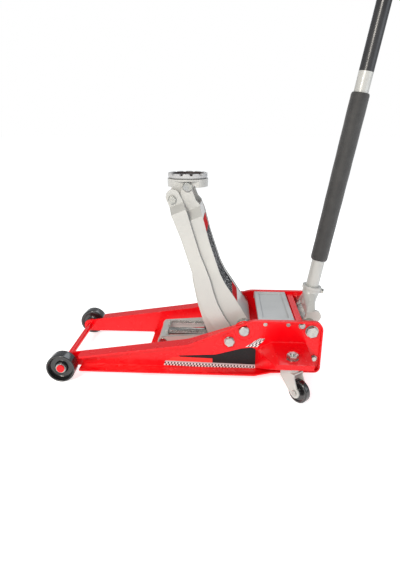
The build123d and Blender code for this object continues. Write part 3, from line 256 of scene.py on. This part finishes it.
finishes = {
    "red_paint": enamel("redEnamel", (0.88, 0.0, 0.005), (0.80, 0.0, 0.004), 0.24, wearAndHighlightColor=(0.85, 0.05, 0.04),
                        coat=0.08, dust=0.02),
    "grey_paint": enamel("silverEnamel", (0.50, 0.495, 0.47), (0.445, 0.445, 0.43), 0.34, metallic=0.1,
                         wearAndHighlightColor=(0.62, 0.61, 0.59), wearAndHighlightShare=0.4),
    "tray_paint": enamel("trayEnamel", (0.48, 0.49, 0.49), (0.42, 0.43, 0.43), 0.36, metallic=0.1),
    "black_paint": enamel("blackEnamel", (0.022, 0.022, 0.024), (0.035, 0.035, 0.037), 0.35,
                          wearAndHighlightColor=(0.20, 0.20, 0.20)),
    "zinc": plating("zincPlate", (0.50, 0.49, 0.44), (0.38, 0.39, 0.39), 0.26),
    "chromed_rod": plating("chromedRod", (0.34, 0.33, 0.30), (0.24, 0.23, 0.22), 0.16, (1, 6, 6)),
    "spring_steel": plating("springSteel", (0.80, 0.79, 0.75), (0.55, 0.55, 0.54), 0.25),
    "wheel_iron": mouldedBlack("wheelBlack", (0.010, 0.010, 0.011), (0.09, 0.09, 0.09), 0.26, 700, 0.10,
                               base=0.1, coat=0.6),
    "saddle_iron": enamel("saddleCasting", (0.50, 0.50, 0.50), (0.38, 0.38, 0.39), 0.42, metallic=0.1,
                          peel=0.4, wearAndHighlightColor=(0.7, 0.7, 0.7)),
    "rubber_pad": mouldedBlack("rubber", (0.030, 0.018, 0.018), (0.10, 0.07, 0.07), 0.6),
    "foam": foamRubber("foam", (0.024, 0.023, 0.023), (0.036, 0.035, 0.034)),
    "inkBlack": printed("inkBlack", (0.006, 0.006, 0.007), (0.012, 0.012, 0.013)),
    "inkRed": printed("inkRed", (0.86, 0.045, 0.035), (0.80, 0.030, 0.025)),
    "inkSilver": printed("inkSilver", (0.50, 0.50, 0.51), (0.42, 0.42, 0.43)),
    "longChequers": chequered("longChequers", 58, 2),
    "shortChequers": chequered("shortChequers", 7, 4),
    "noticeStrip": noticeStrip("noticeStrip"),
}
slotOf = {part["node"]: part["material_slot"] for part in frame["record"]["subparts"]}
for node, item in nodes.items():
    item.data.materials.clear()
    item.data.materials.append(finishes[slotOf[node]])
print("finishes given to the nodes")


# doubles merged, flat neighbours joined if asked, faces turned outwards, edges over 35 degrees kept sharp
def tidyMesh(mesh, joinFlat=False):
    work = bmesh.new()
    work.from_mesh(mesh)
    bmesh.ops.remove_doubles(work, verts=work.verts, dist=1e-6)
    if joinFlat:
        bmesh.ops.dissolve_limit(work, angle_limit=math.radians(0.4), verts=work.verts, edges=work.edges)
    bmesh.ops.recalc_face_normals(work, faces=work.faces)
    for edge in work.edges:
        edge.smooth = len(edge.link_faces) != 2 or edge.calc_face_angle(0) < math.radians(35)
    work.to_mesh(mesh)
    work.free()


def placed(name, mesh, body, slotName, finishName=None):        # a finished mesh, on its body
    piece = bpy.data.objects.new(name, mesh)
    bpy.context.scene.collection.objects.link(piece)
    mesh.materials.clear()
    mesh.materials.append(finishes[finishName or slotName])
    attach(piece, body)
    return piece


# quads between neighbours of points[row, column]; rows or columns may close, end rows may be capped
def gridPiece(name, points, body, slotName, closeRows=False, closeColumns=False, capEnds=False, uv=None,
              finishName=None):
    rowCount, columnCount = points.shape[:2]
    rows = np.arange(rowCount if closeRows else rowCount - 1)
    columns = np.arange(columnCount if closeColumns else columnCount - 1)
    r, c = np.meshgrid(rows, columns, indexing="ij")
    nextR, nextC = (r + 1) % rowCount, (c + 1) % columnCount
    quads = np.stack([r * columnCount + c, r * columnCount + nextC, nextR * columnCount + nextC,
                      nextR * columnCount + c], axis=-1).reshape(-1, 4)
    faces = quads.tolist()
    if capEnds:
        faces.append(list(range(columnCount))[::-1])
        faces.append([(rowCount - 1) * columnCount + k for k in range(columnCount)])
    mesh = bpy.data.meshes.new(name)
    mesh.from_pydata(points.reshape(-1, 3).tolist(), [], faces)
    if uv is not None:
        layer = mesh.uv_layers.new(name="across")
        corner = np.zeros(len(mesh.loops), np.int32)
        mesh.loops.foreach_get("vertex_index", corner)
        layer.data.foreach_set("uv", uv.reshape(-1, 2)[corner].astype(np.float32).ravel())
    mesh.polygons.foreach_set("use_smooth", np.ones(len(mesh.polygons), bool))
    tidyMesh(mesh)
    return placed(name, mesh, body, slotName, finishName)


# points[turn, k] = center + h*axis + r*(cos a, sin a) across it, for each (r, h) of the profile
def roundAbout(center, axis, profile, turns, lift=None):
    axis = np.array(axis, float) / np.linalg.norm(axis)
    side = np.cross(axis, (0, 0, 1) if abs(axis[2]) < 0.9 else (1, 0, 0))
    side /= np.linalg.norm(side)
    other = np.cross(axis, side)
    angle = np.linspace(0, 2 * math.pi, turns, endpoint=False)[:, None, None]
    r, h = np.array(profile, float).T[:, None, :, None]
    r = np.broadcast_to(r, (turns, r.shape[1], 1))
    h = np.broadcast_to(h, (turns, h.shape[1], 1))
    if lift is not None:
        r, h = lift(angle, r, h)
    return np.array(center) + h * axis + r * (np.cos(angle) * side + np.sin(angle) * other)


# (r, h) around a closed outline with each corner rounded by its radius: arcs are quadratic blends
def softened(corners, radii, steps=4):
    corners = np.array(corners, float)
    found = []
    for k, (corner, radius) in enumerate(zip(corners, radii)):
        before, after = corners[k - 1], corners[(k + 1) % len(corners)]
        toBefore, toAfter = before - corner, after - corner
        reach = min(radius, 0.48 * np.linalg.norm(toBefore), 0.48 * np.linalg.norm(toAfter))
        start = corner + toBefore / np.linalg.norm(toBefore) * reach
        end = corner + toAfter / np.linalg.norm(toAfter) * reach
        t = np.linspace(0, 1, steps + 1)[:, None]
        found.append((1 - t) ** 2 * start + 2 * t * (1 - t) * corner + t**2 * end if radius else corner[None])
    return np.concatenate(found)


# a round tube along path[k]: across each point, radius times two axes square to the path
def tubeAlong(path, radius, sides=10):
    forward = np.gradient(path, axis=0)
    forward /= np.linalg.norm(forward, axis=1, keepdims=True)
    base = np.array((0.0, 0.0, 1.0)) if abs(forward[:, 2]).mean() < 0.8 else np.array((1.0, 0.0, 0.0))
    side = np.cross(forward, base)
    side /= np.linalg.norm(side, axis=1, keepdims=True)
    other = np.cross(forward, side)
    angle = np.linspace(0, 2 * math.pi, sides, endpoint=False)
    ring = np.cos(angle)[None, :, None] * side[:, None] + np.sin(angle)[None, :, None] * other[:, None]
    reach = np.broadcast_to(np.asarray(radius, float), (len(path),))
    return path[:, None] + reach[:, None, None] * ring


# pressed and forged steel pieces: the node's own shape with its corners rounded off

easedWidths = {
    "left_side_plate": 0.0012, "right_side_plate": 0.0012, "left_caster_bracket": 0.0012,
    "right_caster_bracket": 0.0012, "left_levelling_bar": 0.0010, "right_levelling_bar": 0.0010,
    "saddle_bracket": 0.0010, "crosshead": 0.0010, "left_pull_link": 0.0008, "right_pull_link": 0.0008,
    "front_cross_tie": 0.0008, "rear_strap": 0.0008, "pump_block": 0.0008, "left_caster_fork": 0.0008,
    "right_caster_fork": 0.0008, "handle_socket": 0.0010, "lift_arm": 0.0010, "tray_cover": 0.0006,
}
for node, width in easedWidths.items():
    mesh = nodes[node].data.copy()
    mesh.transform(nodes[node].matrix_world)
    tidyMesh(mesh, joinFlat=True)
    mesh.polygons.foreach_set("use_smooth", np.ones(len(mesh.polygons), bool))
    words = node.split("_")
    title = words[0] + "".join(word.capitalize() for word in words[1:])
    piece = placed(title, mesh, bodyOf[node], slotOf[node])
    ease = piece.modifiers.new("ease", "BEVEL")
    ease.width, ease.segments, ease.limit_method, ease.angle_limit = width, 2, "ANGLE", math.radians(40)
    ease.harden_normals = True
    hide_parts(node)
print("steel pieces eased")


# springs

springShape = {"wire": 0.0018, "pitch": 0.0036, "pumpWire": 0.0020, "pumpPitch": 0.0052, "sidesPerWire": 8}


# helix about the line from start to end: centre + radius*(cos, sin) of the turned angle
def coil(name, start, end, radius, wire, pitch, body, slotName):
    start, end = np.array(start), np.array(end)
    length = np.linalg.norm(end - start)
    turns = max(4, round((length - wire) / pitch))
    t = np.linspace(0, 1, turns * 14 + 1)
    along = start + (end - start) * ((wire / 2 + t * (length - wire)) / length)[:, None]
    angle = 2 * math.pi * turns * t
    across = np.stack([np.zeros_like(t), np.cos(angle), np.sin(angle)], axis=1) * (radius - wire / 2)
    return gridPiece(name, tubeAlong(along + across, wire / 2, springShape["sidesPerWire"]), body, slotName,
                     closeColumns=True, capEnds=True)


for side in ("left", "right"):
    node = f"{side}_return_spring"
    low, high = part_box(node)
    middleY, middleZ = (low.y + high.y) / 2, (low.z + high.z) / 2
    spring = coil(f"{side}ReturnSpring", (low.x, middleY, middleZ), (high.x, middleY, middleZ),
                  (high.z - low.z) / 2, springShape["wire"], springShape["pitch"], "crosshead",
                  "spring_steel")
    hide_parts(node)
    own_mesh(spring)

low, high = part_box("pump_springs")
pumpRadius = (high.z - low.z) / 2
for side, middleY in (("left", low.y + pumpRadius), ("right", high.y - pumpRadius)):
    spring = coil(f"{side}PumpSpring", (low.x, middleY, low.z + pumpRadius),
                  (high.x, middleY, low.z + pumpRadius), pumpRadius, springShape["pumpWire"],
                  springShape["pumpPitch"], bodyOf["pump_springs"], "spring_steel")
    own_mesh(spring)
    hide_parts("pump_springs")
print("springs made")


# front wheels: a flat tread with eased corners and a thin rim round a deep cup

frontWheel = {"bore": 0.0081, "rim": 0.0042, "cup": 0.0145, "hub": 0.0145, "hubDrop": 0.0062,
              "back": 0.003, "backRim": 0.007, "turns": 96}
frontRadii = (0.0008, 0.001, 0.001, 0.002, 0.001, 0.004, 0.0025, 0.0012, 0.004, 0.003, 0.001, 0.0008)
for side, sign in (("left", -1), ("right", 1)):
    node = f"{side}_front_wheel"
    low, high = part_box(node)
    r, w = (high.z - low.z) / 2, high.y - low.y
    center = ((low.x + high.x) / 2, (low.y + high.y) / 2, (low.z + high.z) / 2)
    bore, hub, rim = frontWheel["bore"], frontWheel["hub"], r - frontWheel["rim"]
    back, backRim = -w / 2 + frontWheel["back"], r - frontWheel["backRim"]
    cup, hubFace = w / 2 - frontWheel["cup"], w / 2 - frontWheel["hubDrop"]
    corners = [(bore, -w / 2), (hub, -w / 2), (hub + 0.003, back), (backRim - 0.003, back),
               (backRim, -w / 2), (r, -w / 2), (r, w / 2), (rim, w / 2), (rim - 0.003, cup),
               (hub + 0.001, cup), (hub, hubFace), (bore, hubFace)]
    points = roundAbout(center, (0, sign, 0), softened(corners, frontRadii), frontWheel["turns"])
    wheel = gridPiece(f"{side}FrontWheel", points, bodyOf[node], "wheel_iron", closeRows=True,
                      closeColumns=True)
    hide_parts(node)
print("front wheels made")


# caster wheels: rounded tread, dished sides and a raised hub

casterWheel = {"bore": 0.0041, "hub": 0.009, "dish": 0.0035, "rim": 0.006, "turns": 80}
for side in ("left", "right"):
    node = f"{side}_caster_wheel"
    low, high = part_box(node)
    r = (high.z - low.z) / 2
    spin = joints[f"{side}_caster_wheel_spin"]
    w = (high.x - low.x - 2 * r * abs(spin["axis"][1])) / abs(spin["axis"][0])
    hub, rim, dish = casterWheel["hub"], r - casterWheel["rim"], -w / 2 + casterWheel["dish"]
    corners = [(casterWheel["bore"], -w / 2), (hub, -w / 2), (hub + 0.001, dish), (rim, dish),
               (rim + 0.001, -w / 2 + 0.001), (r, -w / 2 + 0.001)]
    corners += [(a, -b) for a, b in reversed(corners)]
    radii = [0.0006, 0.0008, 0.0008, 0.001, 0.0012, 0.0055]
    center = ((low.x + high.x) / 2, (low.y + high.y) / 2, (low.z + high.z) / 2)
    points = roundAbout(center, spin["axis"], softened(corners, radii + radii[::-1]), casterWheel["turns"])
    wheel = gridPiece(f"{side}CasterWheel", points, bodyOf[node], "wheel_iron", closeRows=True,
                      closeColumns=True)
    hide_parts(node)
print("caster wheels made")


# saddle: a turned cup whose rim is cut into teeth, each tooth's flanks sloping

saddleShape = {"teeth": 12, "notchDepth": 0.0045, "halfNotch": 0.20, "flank": 0.10, "columns": 24,
               "wall": 0.0075, "rise": 0.013, "stem": 0.011}
low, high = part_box("saddle")
outer = (high.x - low.x) / 2
seatX, seatY = (low.x + high.x) / 2, (low.y + high.y) / 2
padLow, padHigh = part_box("saddle_pad")
padR = (padHigh.x - padLow.x) / 2
stem = saddleShape["stem"]
underZ = high.z - saddleShape["rise"]


# height = full on a tooth, less notchDepth in a notch, by a smooth step of the share of the tooth's angle
def toothed(angle, r, h):
    share = (angle * saddleShape["teeth"] / (2 * math.pi)) % 1.0
    gap = np.clip((saddleShape["halfNotch"] - np.abs(share - 0.5)) / saddleShape["flank"], 0, 1)
    gap = gap * gap * (3 - 2 * gap)
    rim = np.clip((h - (high.z - saddleShape["notchDepth"])) / saddleShape["notchDepth"], 0, 1)
    return r, h - gap * rim * saddleShape["notchDepth"] * (r > padR + 0.0005)


corners = [(0.0, low.z), (stem, low.z), (stem, underZ - 0.0005), (outer - 0.004, underZ),
           (outer, underZ + 0.004), (outer, high.z), (outer - saddleShape["wall"], high.z),
           (padR + 0.0008, padLow.z + 0.001), (padR - 0.002, padLow.z), (0.0, padLow.z)]
radii = (0, 0.001, 0.001, 0.0015, 0.0015, 0.0009, 0.0012, 0.0008, 0.0005, 0)
points = roundAbout((seatX, seatY, 0), (0, 0, 1), softened(corners, radii, 3),
                    saddleShape["teeth"] * saddleShape["columns"], toothed)
saddlePiece = gridPiece("toothedSaddle", points, "saddle", "saddle_iron", closeRows=True)
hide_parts("saddle")
print("saddle made")


# saddle pad: a rubber disc with raised rings, height = ribs by the cosine of the radius, and a
# lip that lines the inside of the rim

padShape = {"ringPitch": 0.006, "ringRise": 0.0005, "lip": 0.0022, "turns": 96}
r = np.linspace(0, padR - padShape["lip"], 66)
ribs = padHigh.z - padShape["ringRise"] * (0.5 - 0.5 * np.cos(2 * math.pi * r / padShape["ringPitch"]))
lipTop = high.z - 0.0010
profile = list(zip(r, ribs)) + [(padR - padShape["lip"] + 0.0003, lipTop - 0.0004),
                                (padR - padShape["lip"] + 0.0008, lipTop), (padR + 0.0008, lipTop),
                                (padR + 0.0012, lipTop - 0.0005), (padR, padLow.z + 0.0010), (padR, padLow.z),
                                (0.0, padLow.z)]
points = roundAbout((seatX, seatY, 0), (0, 0, 1), profile, padShape["turns"])
pad = gridPiece("ribbedPad", points, "saddle", "rubber_pad", closeRows=True)
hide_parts("saddle_pad")
print("pad made")


# foam sleeve and hand grip: turned about the handle, places measured along it from the socket pivot

handleAxis = np.array(joints["handle_twist"]["axis"], float)
handleAxis /= np.linalg.norm(handleAxis)
socketPoint = np.array(joints["pump_stroke"]["pos_m"], float)
handleShape = {"tube": 0.0165, "sleeve": 0.0213, "sleeveFrom": 0.155, "sleeveTo": 0.555,
               "sleeveWave": 0.00015, "sleeveRound": 0.0018, "grip": 0.019, "gripFrom": 0.930,
               "gripTo": 1.080, "groovePitch": 0.005, "grooveDepth": 0.0006, "gripRound": 0.0035, "turns": 56}

# sleeve radius = sleeve plus slow waves along it, its ends rounded over 4 mm
t = np.linspace(0, 1, 90)
h = handleShape["sleeveFrom"] + t * (handleShape["sleeveTo"] - handleShape["sleeveFrom"])
nearEnd = np.clip(np.minimum(h - h[0], h[-1] - h) / 0.004, 0, 1)
rounding = handleShape["sleeveRound"] * (1 - np.sqrt(1 - (1 - nearEnd) ** 2))
waves = handleShape["sleeveWave"] * np.sin(37 * t) * nearEnd
reach = handleShape["sleeve"] - 0.0002 + waves - rounding
profile = list(zip(reach, h)) + [(handleShape["tube"], h[-1]), (handleShape["tube"], h[0])]
points = roundAbout(socketPoint, handleAxis, profile, handleShape["turns"])
sleeve = gridPiece("foamSleeve", points, bodyOf["foam_sleeve"], "foam", closeRows=True, closeColumns=True)
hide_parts("foam_sleeve")

# grip radius = grip less an even groove every pitch, with a smooth collar at each end
h = np.linspace(handleShape["gripFrom"], handleShape["gripTo"], 240)
inBand = np.clip(np.minimum(h - h[0] - 0.010, h[-1] - 0.012 - h) / 0.003, 0, 1)
grooves = 0.5 - 0.5 * np.cos(2 * math.pi * (h - h[0]) / handleShape["groovePitch"])
nearEnd = np.clip(np.minimum((h - h[0]) / 0.002, (h[-1] - h) / 0.004), 0, 1)
rounding = handleShape["gripRound"] * (1 - np.sqrt(1 - (1 - nearEnd) ** 2))
reach = handleShape["grip"] - handleShape["grooveDepth"] * grooves * inBand - rounding
profile = list(zip(reach, h)) + [(0.0, h[-1]), (0.0, h[0])]
points = roundAbout(socketPoint, handleAxis, profile, handleShape["turns"])
grip = gridPiece("handGrip", points, bodyOf["hand_grip"], "rubber_pad", closeRows=True)
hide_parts("hand_grip")
print("sleeve and grip made")


# weld beads: tubes whose radius ripples along the seam

beadShape = {"radius": 0.0024, "ripple": 0.16, "pitch": 0.0032, "step": 0.0008, "taper": 0.004}
hoodSeam = {"y": 0.1090, "x": 0.0310, "shoulderX": 0.0695, "endX": 0.153, "low": 0.026, "shoulder": 0.078,
            "top": 0.0990}
tieSeam = {"frontX": -0.2560, "rearX": -0.2300, "outY": 0.1035, "inY": 0.088, "z": 0.0245}


# points every step along straight runs; radius = bead*(1 + ripple*sin of the run over the pitch)
def bead(name, corners, body, slotName):
    corners = np.array(corners, float)
    runs = np.linalg.norm(np.diff(corners, axis=0), axis=1)
    total = np.concatenate([[0], np.cumsum(runs)])
    s = np.arange(0, total[-1], beadShape["step"])
    path = np.stack([np.interp(s, total, corners[:, k]) for k in range(3)], axis=1)
    ends = np.clip(np.minimum(s, s[-1] - s) / beadShape["taper"], 0.3, 1)
    ripples = 1 + beadShape["ripple"] * np.sin(2 * math.pi * s / beadShape["pitch"])
    reach = beadShape["radius"] * ends * ripples
    return gridPiece(name, tubeAlong(path, reach, 8), body, slotName, closeColumns=True, capEnds=True)


for side, sign in (("left", -1), ("right", 1)):
    seamY, seamX = sign * hoodSeam["y"], pivotX + hoodSeam["x"]
    bead(f"{side}HoodBead", [(seamX, seamY, hoodSeam["low"]), (seamX, seamY, hoodSeam["shoulder"]),
                             (pivotX + hoodSeam["shoulderX"], seamY, hoodSeam["top"]),
                             (pivotX + hoodSeam["endX"], seamY, hoodSeam["top"])], "chassis", "red_paint")
    for place, x in (("Front", pivotX + tieSeam["frontX"]), ("Rear", pivotX + tieSeam["rearX"])):
        bead(f"{side}Tie{place}Bead", [(x, sign * tieSeam["outY"], tieSeam["z"]),
                                       (x, sign * tieSeam["inY"], tieSeam["z"])], "chassis", "red_paint")
print("weld beads made")


# decals on both webs: chequers, a silver line, a red bar, a black field and a chequered flag

webFace = 0.10850        # the web's outer face, across
filmRise, filmSink = 0.00025, 0.0002        # how far the film stands out of the web and reaches into it
decalShapes = [
    ("ChequerLine", "longChequers", ((-0.203, 0.0265), (0.030, 0.0200), (0.033, 0.0300), (-0.2005, 0.0355))),
    ("SilverLine", "inkSilver", ((-0.2005, 0.0356), (0.033, 0.0301), (0.0335, 0.0342), (-0.1985, 0.0395))),
    ("RedBar", "inkRed", ((-0.196, 0.0397), (-0.078, 0.0368), (-0.078, 0.0480), (-0.178, 0.0505))),
    ("BlackField", "inkBlack", ((-0.078, 0.0370), (0.0333, 0.0345), (0.0380, 0.0760), (0.0200, 0.0825),
                                (-0.0050, 0.0790), (-0.0700, 0.0600), (-0.1650, 0.0545), (-0.160, 0.0515),
                                (-0.078, 0.0490))),
    ("Flag", "shortChequers", ((0.0050, 0.0840), (0.0340, 0.0840), (0.0540, 0.1080), (0.0380, 0.1080))),
]
for side, sign in (("left", -1), ("right", 1)):
    for title, finish, outline in decalShapes:
        ring = [(pivotX + x, sign * (webFace + filmRise), z) for x, z in outline]
        under = [(x, sign * (webFace - filmSink), z) for x, y, z in ring]
        count = len(ring)
        mesh = bpy.data.meshes.new(side + title)
        walls = [(k, (k + 1) % count, count + (k + 1) % count, count + k) for k in range(count)]
        sheets = [tuple(range(count)), tuple(range(2 * count - 1, count - 1, -1))]
        mesh.from_pydata(ring + under, [], sheets + walls)
        corner = np.array([(0, 0), (1, 0), (1, 1), (0, 1)] if count == 4 else [(0, 0)] * count, float)
        layer = mesh.uv_layers.new(name="across")
        index = np.zeros(len(mesh.loops), np.int32)
        mesh.loops.foreach_get("vertex_index", index)
        layer.data.foreach_set("uv", corner[index % count].astype(np.float32).ravel())
        tidyMesh(mesh)
        placed(side + title, mesh, "chassis", "red_paint", finish)
print("web decals made")


# notice strip on the back of the lift arm, following the web's bends

armBack = {"profile": ((60, 7.0), (70, 4.8), (120, -5.2), (150, -7.2), (233, -1.2), (289, 6.3)),
           "from": 62, "to": 288, "nearY": -0.0665, "farY": 0.045, "proud": 0.5}
saddlePoint = np.array(joints["saddle_bracket_tilt"]["pos_m"], float)
pivotPoint = np.array(joints["arm_lift"]["pos_m"], float)
upArm = (saddlePoint - pivotPoint) / np.linalg.norm(saddlePoint - pivotPoint)
backArm = np.array((upArm[2], 0.0, -upArm[0]))
u = np.linspace(armBack["from"], armBack["to"], 60)
v = np.interp(u, *np.array(armBack["profile"], float).T) + armBack["proud"]
line = pivotPoint + (u[:, None] * upArm + v[:, None] * backArm) / 1000
acrossY = np.linspace(armBack["nearY"], armBack["farY"], 8)
top = line[:, None] + acrossY[None, :, None] * np.array((0.0, 1.0, 0.0))
along, wide = np.meshgrid(np.linspace(0, 1, len(u)), np.linspace(0, 1, len(acrossY)), indexing="ij")
gridPiece("armNoticeStrip", top, "lift_arm", "grey_paint", uv=np.stack([along, wide], axis=-1),
          finishName="noticeStrip")
print("arm strip made")


# camera, backdrop and light

cameraView = {"ahead": 0.051944, "y": -1.144544, "z": 0.604171, "yaw": 3.19, "pitch": 19.05, "lens": 28.79}
cameraData = bpy.data.cameras.new("camera")
cameraData.lens = cameraView["lens"]
cameraData.sensor_width = 36
camera = bpy.data.objects.new("camera", cameraData)
bpy.context.scene.collection.objects.link(camera)
yaw, pitch = math.radians(cameraView["yaw"]), math.radians(cameraView["pitch"])
forward = Vector((-math.sin(yaw) * math.cos(pitch), math.cos(yaw) * math.cos(pitch), -math.sin(pitch)))
camera.location = (pivotX - cameraView["ahead"], cameraView["y"], cameraView["z"])
camera.rotation_euler = forward.to_track_quat("-Z", "Y").to_euler()
bpy.context.scene.camera = camera

floorReach = 30.0
floorMesh = bpy.data.meshes.new("floor")
floorMesh.from_pydata([(-floorReach, -floorReach, 0), (floorReach, -floorReach, 0),
                       (floorReach, floorReach, 0), (-floorReach, floorReach, 0)], [], [(0, 1, 2, 3)])
floor = bpy.data.objects.new("floor", floorMesh)
bpy.context.scene.collection.objects.link(floor)
floorFinish, _, floorShader = startFinish("whiteFloor")
floorShader.inputs["Base Color"].default_value = rgba((0.90, 0.90, 0.90))
floorShader.inputs["Roughness"].default_value = 0.9
floorShader.inputs["Specular IOR Level"].default_value = 0.0
floorShader.inputs["Emission Color"].default_value = rgba((1.0, 1.0, 1.0))
floorShader.inputs["Emission Strength"].default_value = 0.66
floorMesh.materials.append(floorFinish)

world = bpy.data.worlds.new("studio")
world.use_nodes = True
sky = world.node_tree        # white to the camera, dimmer as a light
seen = sky.nodes["Background"]
seen.inputs[0].default_value = rgba((1.0, 1.0, 1.0))
lit = sky.nodes.new("ShaderNodeBackground")
lit.inputs[0].default_value = rgba((0.93, 0.96, 1.0))
lit.inputs[1].default_value = 0.42
choice = sky.nodes.new("ShaderNodeMixShader")
sky.links.new(sky.nodes.new("ShaderNodeLightPath").outputs["Is Camera Ray"], choice.inputs[0])
sky.links.new(lit.outputs[0], choice.inputs[1])
sky.links.new(seen.outputs[0], choice.inputs[2])
sky.links.new(choice.outputs[0], sky.nodes["World Output"].inputs[0])
bpy.context.scene.world = world
bpy.context.scene.view_settings.view_transform = "Standard"

lampList = [
    {"name": "keyLamp", "place": (-0.9, -2.0, 1.5), "aim": (0, 0, 0.15), "size": 0.8, "power": 44,
     "tint": (1.0, 0.95, 0.86)},
    {"name": "fillLamp", "place": (1.9, -0.8, 1.0), "aim": (0, 0, 0.3), "size": 1.2, "power": 8,
     "tint": (0.86, 0.93, 1.0)},
    {"name": "backLamp", "place": (0.4, 1.8, 1.8), "aim": (0, 0, 0.2), "size": 1.4, "power": 12,
     "tint": (0.90, 0.95, 1.0)},
]
for lamp in lampList:
    data = bpy.data.lights.new(lamp["name"], "AREA")
    data.shape, data.size, data.energy, data.color = "SQUARE", lamp["size"], lamp["power"], lamp["tint"]
    item = bpy.data.objects.new(lamp["name"], data)
    bpy.context.scene.collection.objects.link(item)
    item.location = lamp["place"]
    item.rotation_euler = (Vector(lamp["aim"]) - item.location).to_track_quat("-Z", "Y").to_euler()
print("camera, floor and light set")
